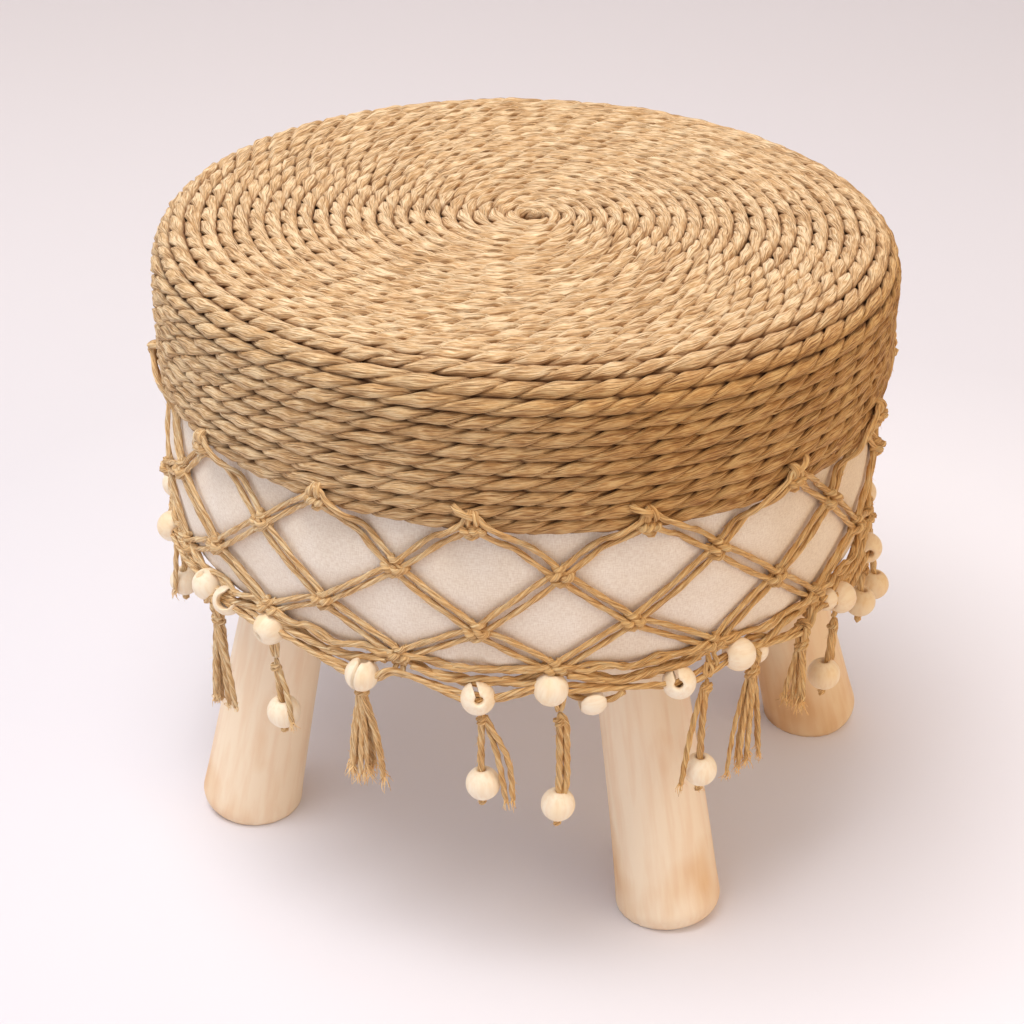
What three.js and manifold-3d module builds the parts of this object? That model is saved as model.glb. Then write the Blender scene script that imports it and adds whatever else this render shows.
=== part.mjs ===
// A round footstool. A foam-padded drum covered in linen stands on four splayed wooden legs. A
// thick twisted rope is wound over its top and down its side, and a net of jute cord with wooden
// beads and tassels hangs round it below the rope.
// Millimetres, +Z up. The origin is on the floor under the middle of the seat, and the photographed
// front faces -Y.
import * as THREE from "three";
import { mergeVertices } from "three/addons/utils/BufferGeometryUtils.js";
import Module from "manifold-3d";

const wasm = await Module();
wasm.setup();

// Driving dimensions
const capRadius = 190; // outside of the rope on the side of the seat
const seatHeight = 337; // floor to the rope at the middle of the top
const seatCrown = 3; // how much higher the middle of the top is than its rim
const shoulderRadius = 22; // rounding from the top to the side, on the outside of the rope
const sideHeight = 62.7; // side of the seat below the shoulder, down to the lowest edge of the rope
const drumHeight = 77.3; // cloth that shows below the rope
const hemTuck = 1.6; // how much further in the rope's lowest turn lies, under the net
const hemTuckHeight = 12; // height above that turn's middle over which the side leans in
const fit = 0.3; // gap where two pieces touch

// Rope
const ropeDiameter = 7.4;
const ropePitch = 8; // from one turn to the next, along the seat's surface
const ropeSides = 5;
const ropeStepDegrees = 15;
const ropeCoarseStepDegrees = 30;
const ropeCoarseRadius = 74; // inside this radius the turns take the coarse step
const ropeEyeRadius = 6; // middle of the first turn
const ropeEndGap = 1; // between the end of the top's rope and the start of the side's

// Cloth, foam and board
const clothThickness = 2;
const drumSegments = 24;
const drumInset = 3.5; // from the outside of the rope to the widest place of the cloth
const drumFootInset = 1.5; // from there to the cloth just above the rounded lower edge
const drumFillet = 12;
const bellyShare = 0.595; // where the drum is widest, as a share of its height
const clothFold = 23; // how far the cloth is folded in under the board
const boardThickness = 12;
const liningThickness = 1;
const liningLap = 8; // how far the lining covers the folded cloth
const liningHoleRoom = 1.5;

// Legs and their screws
const legFootRadius = 26.5;
const legTopRadius = 23;
const legRounding = 12; // at the foot
const legWidestShare = 2.5; // height of the widest place, in roundings
const legMiddleShare = 0.3; // how much of the taper is left halfway up
const legSoleSink = 6; // how far the tilted, rounded foot is cut off flat by the floor
const legSegments = 20;
const screwHeadRadius = 6;
const screwHeadHeight = 4;
const screwShankRadius = 3;
const screwLength = 48;
const screwPoint = 5;
const screwSegments = 8;
const cutOverrun = 10;
// Each leg's place: degrees round the seat, how far out its axis is at the floor as a share of
// capRadius, and how far out it is at the board as a share of clothHemRadius.
const legs = [
  { name: "left", at: -158, footShare: 0.842, topShare: 0.768 },
  { name: "front", at: -60, footShare: 0.869, topShare: 0.686 },
  { name: "right", at: 10.6, footShare: 0.94, topShare: 0.821 },
  { name: "back", at: 106, footShare: 0.86, topShare: 0.751 },
];

// Net
const netColumns = 15;
const netStart = -96.5; // degrees to the middle of a knot of the top row
const netStandoff = 1.4; // room for the straight cords to pass the round drum
const netHitchRoom = 0.7; // the same where the net is tied to the rope
const netPairWidth = 8.4; // two cords side by side
const netCordWidth = 3.8; // one cord
const netSwagWidth = 6.4; // the bundle along the lower edge of the drum
const netThickness = 4;
const netCordThickness = 3.8;
const netKnotRise = 2;
const netRowShares = [1.177, 0.776, 0.388, 0.143]; // heights in the bare cloth, from its lowest edge
const netHitchRise = 9; // from the top row to the end of the loop that is hooked into the rope
const swagRise = 6.5; // from the drum's lowest cloth to the upper bundle halfway between two knots
const swagRoom = 1.3; // between that bundle and the beads of the lower cord
const sharpSine = 0.12; // two cords that leave a knot almost in one line share no mitred corner

// Beads and tassels
const beadRadius = 8;
const collarBore = 3.2;
const pendantBeadRadius = 7.8;
const pendantBore = 2.6;
const beadSegments = 8;
const beadEndShare = 0.94; // flat rim round the bore, as a share of the full sphere's
const beadShoulderShares = [0.8, 0.6]; // a point of the bead's outline, out and along
const beadPassDegrees = 3.6; // the lower cord runs straight this far either side of a bead's middle
const strandRadius = 2.1;
const strandSegments = 6;
const strandKnotRadius = 3.4;
const strandKnotHeight = 5;
const endKnotShares = { wideAt: 0.3, narrowAt: 0.7, narrowWidth: 0.8 }; // the knot under a bead
const strandLoopHeight = 3.8; // cone-shaped end on which a pendant swings
const tasselDrop = 46; // from a collar bead to the middle of the bead that hangs below it
const tasselKnotDrop = 10;
const tasselWaistDrop = 16;
const tasselLength = 58;
const tasselKnotWidth = 5.4;
const tasselWaistWidth = 4.4;
const tasselEndWidth = 11;
const tasselEndThickness = 7;
const samePlaceDegrees = 0.1; // two places on the lower cord closer than this are one
// The tassels, tied by hand at uneven steps: degrees round the seat, a bead or loose strands at the
// end, the side of the tassel on which its collar bead is threaded (0 is right above, null is none),
// and the drop as a share of the usual one.
const tassels = [
  { at: -142.5, end: "strands", side: -1, dropShare: 1 },
  { at: -128.5, end: "bead", side: 0, dropShare: 0.68 },
  { at: -111.5, end: "strands", side: -1, dropShare: 0.95 },
  { at: -95, end: "bead", side: 0, dropShare: 0.97 },
  { at: -84, end: "bead", side: 0, dropShare: 1.22 },
  { at: -61.5, end: "bead", side: -1, dropShare: 1.22 },
  { at: -53, end: "strands", side: -1, dropShare: 1.1 },
  { at: -42, end: "strands", side: null, dropShare: 0.7 },
  { at: -32.5, end: "bead", side: 0, dropShare: 0.73 },
  { at: -14.5, end: "bead", side: 0, dropShare: 0.55 },
  { at: 0, end: "strands", side: 1, dropShare: 0.9 },
  { at: 13, end: "strands", side: null, dropShare: 0.8 },
  { at: 28, end: "bead", side: 0, dropShare: 1.1 },
  { at: 41, end: "strands", side: 1, dropShare: 1 },
  { at: 54, end: "bead", side: 0, dropShare: 0.9 },
  { at: 67, end: "strands", side: null, dropShare: 0.8 },
  { at: 80, end: "bead", side: 0, dropShare: 1.15 },
  { at: 92, end: "strands", side: -1, dropShare: 0.95 },
  { at: 105, end: "strands", side: 1, dropShare: 0.9 },
  { at: 119, end: "bead", side: 0, dropShare: 1 },
  { at: 131, end: "strands", side: null, dropShare: 0.85 },
  { at: 145, end: "bead", side: 0, dropShare: 1.1 },
  { at: 159, end: "strands", side: 1, dropShare: 1 },
  { at: 178, end: "bead", side: 0, dropShare: 1.2 },
  { at: 197, end: "strands", side: -1, dropShare: 0.95 },
];

const sameCorner = 1e-4; // two corners of a mesh closer than this are one

// Sizes that follow
const ropeRadius = ropeDiameter / 2;
const ropeDepth = ropeRadius * (1 + Math.cos(Math.PI / ropeSides)); // crest to flat back
const rimRadius = capRadius - shoulderRadius;
const rimHeight = seatHeight - seatCrown;
const capHem = rimHeight - shoulderRadius - sideHeight;
const drumBottom = capHem - drumHeight;
const drumRadius = capRadius - drumInset;
const drumFootRadius = drumRadius - drumFootInset;
const bellyHeight = drumBottom + bellyShare * drumHeight;
const clothHemRadius = drumFootRadius - clothFold;
const boardBottom = drumBottom + clothThickness + fit;
const boardTop = boardBottom + boardThickness;
const legTop = boardBottom - fit;
const liningTop = drumBottom - fit;
const netRadius = drumRadius + fit + netStandoff + netThickness / 2;
const hitchRadius = capRadius + fit + netHitchRoom + netThickness / 2;
const netRowHeights = netRowShares.map((share) => drumBottom + share * drumHeight);
const netHitchHeight = netRowHeights[0] + netHitchRise;
const swagHeight = drumBottom + swagRise;
const ringHeight = swagHeight - netSwagWidth / 2 - swagRoom - beadRadius;
const collarRadius = netRadius * Math.cos(radians(beadPassDegrees));

function radians(degrees) {
  return (degrees * Math.PI) / 180;
}

// Signed volume of an indexed triangle mesh: negative when its faces point inwards.
function signedVolume(points, index) {
  const [a, b, c] = [new THREE.Vector3(), new THREE.Vector3(), new THREE.Vector3()];
  let sum = 0;
  for (let i = 0; i < index.length; i += 3) {
    a.fromBufferAttribute(points, index[i]);
    b.fromBufferAttribute(points, index[i + 1]);
    c.fromBufferAttribute(points, index[i + 2]);
    sum += a.dot(b.cross(c));
  }
  return sum / 6;
}

// The same surface with shared corners, no collapsed faces and every face pointing out.
function closedGeometry(geometry) {
  const bare = new THREE.BufferGeometry();
  bare.setAttribute("position", geometry.getAttribute("position"));
  if (geometry.index) bare.setIndex(geometry.index);
  const merged = mergeVertices(bare, sameCorner);
  const whole = [];
  for (let i = 0; i < merged.index.count; i += 3) {
    const [a, b, c] = [0, 1, 2].map((k) => merged.index.getX(i + k));
    if (a !== b && b !== c && c !== a) whole.push(a, b, c);
  }
  const inwards = signedVolume(merged.getAttribute("position"), whole) < 0;
  merged.setIndex(inwards ? whole.reverse() : whole);
  return merged;
}

function toSolid(geometry) {
  const { attributes, index } = closedGeometry(geometry);
  return new wasm.Manifold(
    new wasm.Mesh({
      numProp: 3,
      vertProperties: new Float32Array(attributes.position.array),
      triVerts: new Uint32Array(index.array),
    }),
  );
}

function fromSolid(solid) {
  const mesh = solid.getMesh();
  const geometry = new THREE.BufferGeometry();
  geometry.setAttribute("position", new THREE.BufferAttribute(mesh.vertProperties, 3));
  geometry.setIndex(new THREE.BufferAttribute(mesh.triVerts, 1));
  return geometry;
}

// A profile of [radius, height] points turned round +Z.
function turned(profile, segments) {
  const points = profile.map(([r, z]) => new THREE.Vector2(r, z));
  return closedGeometry(new THREE.LatheGeometry(points, segments).rotateX(Math.PI / 2));
}

// Rings of equally many points, joined in turn and closed at both ends.
function joinedRings(rings) {
  const sides = rings[0].length;
  const index = [];
  for (let k = 0; k + 1 < rings.length; k++) {
    for (let j = 0; j < sides; j++) {
      const a = k * sides + j;
      const b = k * sides + ((j + 1) % sides);
      index.push(a, b, b + sides, a, b + sides, a + sides);
    }
  }
  const last = (rings.length - 1) * sides;
  for (let j = 1; j + 1 < sides; j++) {
    index.push(0, j + 1, j);
    index.push(last, last + j, last + j + 1);
  }
  const geometry = new THREE.BufferGeometry().setFromPoints(rings.flat());
  geometry.setIndex(index);
  return closedGeometry(geometry);
}

// The seat's surface at a distance along its profile from the middle of the top, and a depth below
// the outside of the rope. Distances are measured along the middle of the rope.
const shoulderLength = ((shoulderRadius - ropeRadius) * Math.PI) / 2;
const capLength = rimRadius + shoulderLength + sideHeight - ropeRadius;
const topLength = rimRadius + shoulderLength / 2; // the top's rope ends about halfway down the shoulder
const ropeTopTurns = Math.floor((topLength - ropeEyeRadius) / ropePitch);

function capPoint(distance, depth) {
  if (distance <= rimRadius) {
    const height = seatHeight - (seatCrown * distance) / rimRadius;
    return { r: distance, z: height - depth, normal: Math.PI / 2 };
  }
  if (distance <= rimRadius + shoulderLength) {
    const normal = (Math.PI / 2) * (1 - (distance - rimRadius) / shoulderLength);
    const reach = shoulderRadius - depth;
    const z = rimHeight - shoulderRadius + reach * Math.sin(normal);
    return { r: rimRadius + reach * Math.cos(normal), z, normal };
  }
  const z = rimHeight - shoulderRadius - (distance - rimRadius - shoulderLength);
  const lean = 1 - (z - capHem - ropeRadius) / hemTuckHeight;
  const tuck = hemTuck * Math.min(1, Math.max(0, lean));
  return { r: capRadius - depth - tuck, z, normal: 0 };
}

// Rope

// One unbroken tube that spirals over the seat's surface between two distances along its profile.
function ropeForm(from, to, startDegrees) {
  const stops = [];
  let degrees = startDegrees;
  let distance = from;
  while (distance < to) {
    stops.push({ degrees, distance });
    const step = distance < ropeCoarseRadius ? ropeCoarseStepDegrees : ropeStepDegrees;
    degrees += step;
    distance += (ropePitch * step) / 360;
  }
  const rings = stops.map((stop) => {
    const { r, z, normal } = capPoint(stop.distance, ropeRadius);
    const turn = radians(stop.degrees);
    const ring = [];
    for (let j = 0; j < ropeSides; j++) {
      const angle = normal + (2 * Math.PI * j) / ropeSides;
      const reach = r + ropeRadius * Math.cos(angle);
      const height = z + ropeRadius * Math.sin(angle);
      ring.push(new THREE.Vector3(reach * Math.cos(turn), reach * Math.sin(turn), height));
    }
    return ring;
  });
  return { geometry: joinedRings(rings), gap: leastGap(rings, stops), degrees, distance };
}

// The least gap of a winding to itself: between points of its surface, on its rings and halfway
// from ring to ring, that are half a turn to one and a half turns apart.
function leastGap(rings, stops) {
  const points = [];
  for (let i = 0; i + 1 < rings.length; i++) {
    const degrees = [stops[i].degrees, (stops[i].degrees + stops[i + 1].degrees) / 2];
    points.push({ degrees: degrees[0], ring: rings[i] });
    const halfway = rings[i].map((point, j) => point.clone().lerp(rings[i + 1][j], 0.5));
    points.push({ degrees: degrees[1], ring: halfway });
  }
  let least = Infinity;
  for (const a of points) {
    for (const b of points) {
      if (b.degrees - a.degrees < 180 || b.degrees - a.degrees > 540) continue;
      for (const p of a.ring) {
        for (const q of b.ring) least = Math.min(least, p.distanceTo(q));
      }
    }
  }
  return least;
}

const topRope = ropeForm(ropeEyeRadius, ropeEyeRadius + ropeTopTurns * ropePitch, 0);
const sideRope = ropeForm(topRope.distance + ropeEndGap / 2, capLength, topRope.degrees);
console.log(`rope on the top: least gap to itself ${topRope.gap.toFixed(2)} mm`);
console.log(`rope on the side: least gap to itself ${sideRope.gap.toFixed(2)} mm`);

// Drum

function arcPoints(r, z, radius, fromDegrees, toDegrees, steps) {
  const points = [];
  for (let k = 0; k <= steps; k++) {
    const angle = radians(fromDegrees + ((toDegrees - fromDegrees) * k) / steps);
    points.push([r + radius * Math.cos(angle), z + radius * Math.sin(angle)]);
  }
  return points;
}

// Outside of the cloth from its folded edge under the board, round the drum and over the top.
function clothOutline() {
  const depth = ropeDepth + fit;
  const points = [[clothHemRadius, drumBottom]];
  const foot = [drumFootRadius - drumFillet, drumBottom + drumFillet];
  points.push(...arcPoints(...foot, drumFillet, -90, 0, 4));
  points.push([drumRadius, bellyHeight]);
  const hemRadius = capRadius - hemTuck - depth;
  points.push([(drumRadius + hemRadius) / 2, (bellyHeight + capHem) / 2]);
  points.push([hemRadius, capHem - fit]);
  const shoulderSteps = 4;
  for (let k = shoulderSteps; k >= 0; k--) {
    const { r, z } = capPoint(rimRadius + (shoulderLength * k) / shoulderSteps, depth);
    points.push([r, z]);
  }
  points.push([0, capPoint(0, depth).z]);
  return points;
}

// A profile moved to its inner side by a distance. Its last point stays on the axis.
function inset(points, distance) {
  const normals = [];
  for (let i = 0; i + 1 < points.length; i++) {
    const [dr, dz] = [points[i + 1][0] - points[i][0], points[i + 1][1] - points[i][1]];
    const length = Math.hypot(dr, dz);
    normals.push([-dz / length, dr / length]);
  }
  return points.map(([r, z], i) => {
    const before = normals[Math.max(i - 1, 0)];
    const after = normals[Math.min(i, normals.length - 1)];
    const scale = distance / (1 + before[0] * after[0] + before[1] * after[1]);
    const moved = r + scale * (before[0] + after[0]);
    return [i + 1 === points.length ? 0 : moved, z + scale * (before[1] + after[1])];
  });
}

// The part of a rising profile between two heights, with points on both heights.
function between(points, low, high) {
  const kept = [];
  for (let i = 0; i < points.length; i++) {
    const [r, z] = points[i];
    const before = points[Math.max(i - 1, 0)];
    for (const level of [low, high]) {
      if (before[1] < level && z > level) {
        const share = (level - before[1]) / (z - before[1]);
        kept.push([before[0] + (r - before[0]) * share, level]);
      }
    }
    if (z >= low && z <= high) kept.push([r, z]);
  }
  return kept;
}

const clothOuter = clothOutline();
const clothInner = inset(clothOuter, clothThickness);
const fillOutline = inset(clothOuter, clothThickness + fit);

function clothCover() {
  return turned([...clothOuter, ...clothInner.reverse(), clothOuter[0]], drumSegments);
}

function foamCore() {
  const bottom = boardTop + fit;
  return turned([[0, bottom], ...between(fillOutline, bottom, seatHeight)], drumSegments);
}

function seatBoard() {
  const edge = between(fillOutline, boardBottom - fit, boardTop);
  let board = toSolid(turned([[0, boardBottom], ...edge, [0, boardTop]], drumSegments));
  for (const leg of legs) {
    const hole = screwForm(fit).rotateZ(radians(leg.at)).translate(...screwPlace(leg));
    board = board.subtract(toSolid(hole));
  }
  return fromSolid(board);
}

// The dust cover under the board, with a hole for each leg.
function underLining() {
  const shape = new THREE.Shape();
  shape.absarc(0, 0, clothHemRadius + liningLap, 0, 2 * Math.PI);
  for (const leg of legs) {
    const r = legAxisRadius(leg, liningTop);
    const hole = new THREE.Path();
    const radius = legTopRadius / Math.cos(legTilt(leg)) + liningHoleRoom;
    hole.absarc(r * Math.cos(radians(leg.at)), r * Math.sin(radians(leg.at)), radius, 0, 2 * Math.PI, true);
    shape.holes.push(hole);
  }
  const curveSegments = drumSegments / 2;
  const settings = { depth: liningThickness, bevelEnabled: false, curveSegments };
  return closedGeometry(
    new THREE.ExtrudeGeometry(shape, settings).translate(0, 0, liningTop - liningThickness),
  );
}

// Legs

function legTilt(leg) {
  return Math.atan2(leg.footShare * capRadius - leg.topShare * clothHemRadius, legTop);
}

// How far from the middle of the seat a leg's axis is at a height.
function legAxisRadius(leg, height) {
  return leg.footShare * capRadius - height * Math.tan(legTilt(leg));
}

// The screw's middle line meets the leg's axis at the board.
function screwPlace(leg) {
  const r = legAxisRadius(leg, legTop);
  return [r * Math.cos(radians(leg.at)), r * Math.sin(radians(leg.at)), boardTop];
}

// A countersunk screw whose head is flush with height 0, or the hole for it with some room.
function screwForm(room) {
  return turned(
    [
      [0, room ? cutOverrun : 0],
      ...(room ? [[screwHeadRadius + room, cutOverrun]] : []),
      [screwHeadRadius + room, 0],
      [screwShankRadius + room, -screwHeadHeight - room],
      [screwShankRadius + room, screwPoint - screwLength],
      [0, -screwLength - room],
    ],
    screwSegments,
  );
}

// A tapered round leg in the frame of its own foot: +X points away from the middle of the seat.
function legForm(leg) {
  const tilt = legTilt(leg);
  const length = legTop / Math.cos(tilt) + cutOverrun + legFootRadius;
  const middleRadius = legTopRadius + (legFootRadius - legTopRadius) * legMiddleShare;
  const profile = [
    [0, -legSoleSink],
    ...arcPoints(legFootRadius - legRounding, legRounding - legSoleSink, legRounding, -90, -12, 4),
    [legFootRadius, legRounding * legWidestShare],
    [middleRadius, length / 2],
    [legTopRadius, length],
    [0, length],
  ];
  const whole = toSolid(turned(profile, legSegments).rotateY(-tilt));
  const size = 4 * legFootRadius + 2 * length;
  const block = new THREE.BoxGeometry(size, size, legTop).translate(0, 0, legTop / 2);
  const hole = screwForm(fit).translate(-legTop * Math.tan(tilt), 0, boardTop);
  return fromSolid(whole.intersect(toSolid(block)).subtract(toSolid(hole)));
}

// Net

// A flat net on a round drum. Each knot has a place in degrees and height and a distance from the
// axis, and each cord joins two knots. A cord is a bar of four sides, and the corners where
// neighbouring cords meet at a knot close into one surface.
function netForm(knots, cords) {
  const arms = knots.map(() => []);
  cords.forEach((cord, c) => {
    const [a, b] = [knots[cord.from], knots[cord.to]];
    let turn = b.at - a.at;
    turn -= 360 * Math.round(turn / 360);
    const run = radians(turn) * netRadius;
    const angle = Math.atan2(b.z - a.z, run);
    arms[cord.from].push({ c, start: true, angle, half: (cord.fromWidth ?? cord.width) / 2 });
    const back = angle > 0 ? angle - Math.PI : angle + Math.PI;
    arms[cord.to].push({ c, start: false, angle: back, half: (cord.toWidth ?? cord.width) / 2 });
  });
  const points = [];
  const index = [];
  const place = (knot, x, y, depth) => {
    const turn = radians(knot.at) + x / knot.r;
    const r = knot.r + depth;
    points.push(new THREE.Vector3(r * Math.cos(turn), r * Math.sin(turn), knot.z + y));
    return points.length - 1;
  };
  const pair = (knot, x, y) => ({
    outer: place(knot, x, y, knot.thickness / 2),
    inner: place(knot, x, y, -knot.thickness / 2),
  });
  const quad = (a, b, c, d) => index.push(a, b, c, a, c, d);
  const ports = cords.map(() => ({}));
  knots.forEach((knot, k) => {
    const fan = arms[k].sort((a, b) => a.angle - b.angle);
    const corners = fan.map((arm, j) => {
      const next = fan[(j + 1) % fan.length];
      let spread = next.angle - arm.angle;
      if (spread <= 0) spread += 2 * Math.PI;
      const left = [-Math.sin(arm.angle) * arm.half, Math.cos(arm.angle) * arm.half];
      if (fan.length === 1 || Math.abs(Math.sin(spread)) < sharpSine) return pair(knot, ...left);
      const along = (next.half + arm.half * Math.cos(spread)) / Math.sin(spread);
      const x = left[0] + along * Math.cos(arm.angle);
      return pair(knot, x, left[1] + along * Math.sin(arm.angle));
    });
    const loneRight = () => {
      const { angle, half } = fan[0];
      return pair(knot, Math.sin(angle) * half, -Math.cos(angle) * half);
    };
    fan.forEach((arm, j) => {
      const left = corners[j];
      const right = fan.length === 1 ? loneRight() : corners[(j + fan.length - 1) % fan.length];
      ports[arm.c][arm.start ? "start" : "end"] = { left, right };
      if (fan.length === 1) quad(right.outer, left.outer, left.inner, right.inner);
    });
    if (fan.length > 2) {
      const outerMiddle = place(knot, 0, 0, knot.thickness / 2 + netKnotRise);
      const innerMiddle = place(knot, 0, 0, -knot.thickness / 2);
      corners.forEach((corner, j) => {
        const next = corners[(j + 1) % corners.length];
        index.push(corner.outer, next.outer, outerMiddle);
        index.push(next.inner, corner.inner, innerMiddle);
      });
    }
  });
  for (const { start, end } of ports) {
    quad(start.right.outer, end.left.outer, end.right.outer, start.left.outer);
    quad(start.left.inner, end.right.inner, end.left.inner, start.right.inner);
    quad(start.left.outer, end.right.outer, end.right.inner, start.left.inner);
    quad(start.right.inner, end.left.inner, end.left.outer, start.right.outer);
  }
  const geometry = new THREE.BufferGeometry().setFromPoints(points);
  geometry.setIndex(index);
  return closedGeometry(geometry);
}

// The places where the lower cord passes a collar bead, and where a tassel hangs.
function collarPlaces() {
  return tassels
    .filter((tassel) => tassel.side !== null)
    .map((tassel) => tassel.at + tassel.side * beadPassDegrees);
}

function macrameNet() {
  const knots = [];
  const cords = [];
  const column = 360 / netColumns;
  const addKnot = (at, z, r = netRadius, thickness = netThickness) =>
    knots.push({ at, z, r, thickness }) - 1;
  const addCord = (from, to, width, ends = {}) => cords.push({ from, to, width, ...ends });

  const rows = netRowHeights.map((z, row) => {
    const shift = (row % 2) * (column / 2);
    return Array.from({ length: netColumns }, (_, c) =>
      addKnot(netStart + shift + c * column, z, row ? netRadius : hitchRadius),
    );
  });
  rows.forEach((row, r) => {
    const below = rows[r + 1];
    if (!below) return;
    row.forEach((knot, c) => {
      const beside = r % 2 ? (c + 1) % netColumns : (c + netColumns - 1) % netColumns;
      addCord(knot, below[c], netPairWidth);
      addCord(knot, below[beside], netPairWidth);
    });
  });
  for (const knot of rows[0]) {
    addCord(knot, addKnot(knots[knot].at, netHitchHeight, hitchRadius), netSwagWidth);
  }

  const bottomRow = rows[rows.length - 1];
  bottomRow.forEach((knot, c) => {
    const middle = addKnot(knots[knot].at + column / 2, swagHeight);
    addCord(knot, middle, netSwagWidth);
    addCord(middle, bottomRow[(c + 1) % netColumns], netSwagWidth);
  });

  const ring = [];
  const onRing = (at) => {
    const near = ring.find((k) => Math.abs(knots[k].at - at) < samePlaceDegrees);
    if (near !== undefined) return near;
    ring.push(addKnot(at, ringHeight, netRadius, netCordThickness));
    return ring[ring.length - 1];
  };
  for (const at of collarPlaces()) {
    onRing(at - beadPassDegrees);
    onRing(at + beadPassDegrees);
  }
  for (const tassel of tassels) {
    if (tassel.end === "bead") continue;
    const top = onRing(tassel.at);
    const drops = [tasselKnotDrop, tasselWaistDrop, tasselLength * tassel.dropShare];
    const thicknesses = [tasselKnotWidth, tasselWaistWidth, tasselEndThickness];
    const widths = [netCordWidth, tasselKnotWidth, tasselWaistWidth, tasselEndWidth];
    let above = top;
    drops.forEach((drop, k) => {
      const next = addKnot(tassel.at, ringHeight - drop, netRadius, thicknesses[k]);
      addCord(above, next, widths[k], { toWidth: widths[k + 1] });
      above = next;
    });
  }
  for (const knot of bottomRow) {
    const apart = (k) => {
      const turn = knots[k].at - knots[knot].at;
      return Math.abs(turn - 360 * Math.round(turn / 360));
    };
    const nearest = ring.reduce((best, k) => (apart(k) < apart(best) ? k : best));
    addCord(knot, apart(nearest) < column / 4 ? nearest : onRing(knots[knot].at), netCordWidth);
  }
  const round = (k) => THREE.MathUtils.euclideanModulo(knots[k].at, 360);
  ring.sort((a, b) => round(a) - round(b));
  ring.forEach((knot, i) => addCord(knot, ring[(i + 1) % ring.length], netCordWidth));
  return netForm(knots, cords);
}

// Beads and pendants

// A round wooden bead with a bore along its axis.
function beadProfile(radius, bore) {
  const end = Math.sqrt(radius ** 2 - bore ** 2) * beadEndShare;
  const [out, along] = beadShoulderShares.map((share) => share * radius);
  return [
    [bore, -end],
    [out, -along],
    [radius, 0],
    [out, along],
    [bore, end],
    [bore, -end],
  ];
}

// The cord of a pendant, hanging from height 0: a loop that narrows to the point it swings on, a
// knot, the cord, and a knot under the bead.
function pendantCord(beadDrop) {
  const under = beadDrop + pendantBeadRadius;
  const { wideAt, narrowAt, narrowWidth } = endKnotShares;
  return turned(
    [
      [0, 0],
      [strandRadius, -strandLoopHeight],
      [strandKnotRadius, -strandLoopHeight - strandKnotHeight / 2],
      [strandRadius, -strandLoopHeight - strandKnotHeight],
      [strandRadius, -under - fit],
      [strandKnotRadius, -under - fit - strandKnotHeight * wideAt],
      [strandKnotRadius * narrowWidth, -under - fit - strandKnotHeight * narrowAt],
      [0, -under - fit - strandKnotHeight],
    ],
    strandSegments,
  );
}

// Assembly

const rope = new THREE.MeshStandardMaterial({ color: 0xcda67c, roughness: 0.9 });
const jute = new THREE.MeshStandardMaterial({ color: 0xc49a6a, roughness: 0.9 });
const linen = new THREE.MeshStandardMaterial({ color: 0xe9dccb, roughness: 0.95 });
const legWood = new THREE.MeshStandardMaterial({ color: 0xe8c9a2, roughness: 0.6 });
const beadWood = new THREE.MeshStandardMaterial({ color: 0xf8e8cc, roughness: 0.5 });
const board = new THREE.MeshStandardMaterial({ color: 0xcdb080, roughness: 0.8 });
const foam = new THREE.MeshStandardMaterial({ color: 0xf2e6b8, roughness: 1 });
const felt = new THREE.MeshStandardMaterial({ color: 0xd8d2c6, roughness: 1 });
const steel = new THREE.MeshStandardMaterial({ color: 0xb8bcc0, roughness: 0.4, metalness: 1 });

const stool = new THREE.Group();

function add(parent, name, geometry, material) {
  const mesh = new THREE.Mesh(geometry, material);
  mesh.name = name;
  parent.add(mesh);
  return mesh;
}

// A group turned to a place round the seat: its +X points outwards.
function spoke(atDegrees) {
  const group = new THREE.Group();
  group.rotation.z = radians(atDegrees);
  stool.add(group);
  return group;
}

for (const leg of legs) {
  const group = spoke(leg.at);
  const mesh = add(group, `leg_${leg.name}`, legForm(leg), legWood);
  mesh.position.x = leg.footShare * capRadius;
  const screw = add(group, `leg_screw_${leg.name}`, screwForm(0), steel);
  screw.position.set(legAxisRadius(leg, legTop), 0, boardTop);
}
add(stool, "seat_board", seatBoard(), board);
add(stool, "underside_lining", underLining(), felt);
add(stool, "foam_core", foamCore(), foam);
add(stool, "linen_cover", clothCover(), linen);
add(stool, "rope_top_coil", topRope.geometry, rope);
add(stool, "rope_side_winding", sideRope.geometry, rope);
add(stool, "macrame_net", macrameNet(), jute);

const numbered = (name, k) => `${name}_${String(k + 1).padStart(2, "0")}`;

collarPlaces().forEach((at, k) => {
  const points = beadProfile(beadRadius, collarBore).map(([r, z]) => new THREE.Vector2(r, z));
  const bead = closedGeometry(new THREE.LatheGeometry(points, beadSegments));
  const mesh = add(spoke(at), numbered("collar_bead", k), bead, beadWood);
  mesh.position.set(collarRadius, 0, ringHeight);
});

tassels
  .filter((tassel) => tassel.end === "bead")
  .forEach((tassel, k) => {
    const group = spoke(tassel.at);
    const above = tassel.side === 0 ? beadRadius : netCordWidth / 2;
    const r = tassel.side === 0 ? collarRadius : netRadius;
    const drop = tasselDrop * tassel.dropShare;
    const cord = add(group, numbered("pendant_cord", k), pendantCord(drop), jute);
    cord.position.set(r, 0, ringHeight - above - fit);
    const profile = beadProfile(pendantBeadRadius, pendantBore);
    const bead = add(group, numbered("pendant_bead", k), turned(profile, beadSegments), beadWood);
    bead.position.set(r, 0, ringHeight - above - fit - drop);
  });

export default stool;
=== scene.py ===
"""A round footstool: a linen drum on four wooden legs, with a rope seat and a net of jute cord.

Metres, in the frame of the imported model: +Z up, origin on the floor under the middle of the seat,
front at -Y. Rope, cords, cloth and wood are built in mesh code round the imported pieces.
"""

import math

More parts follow.
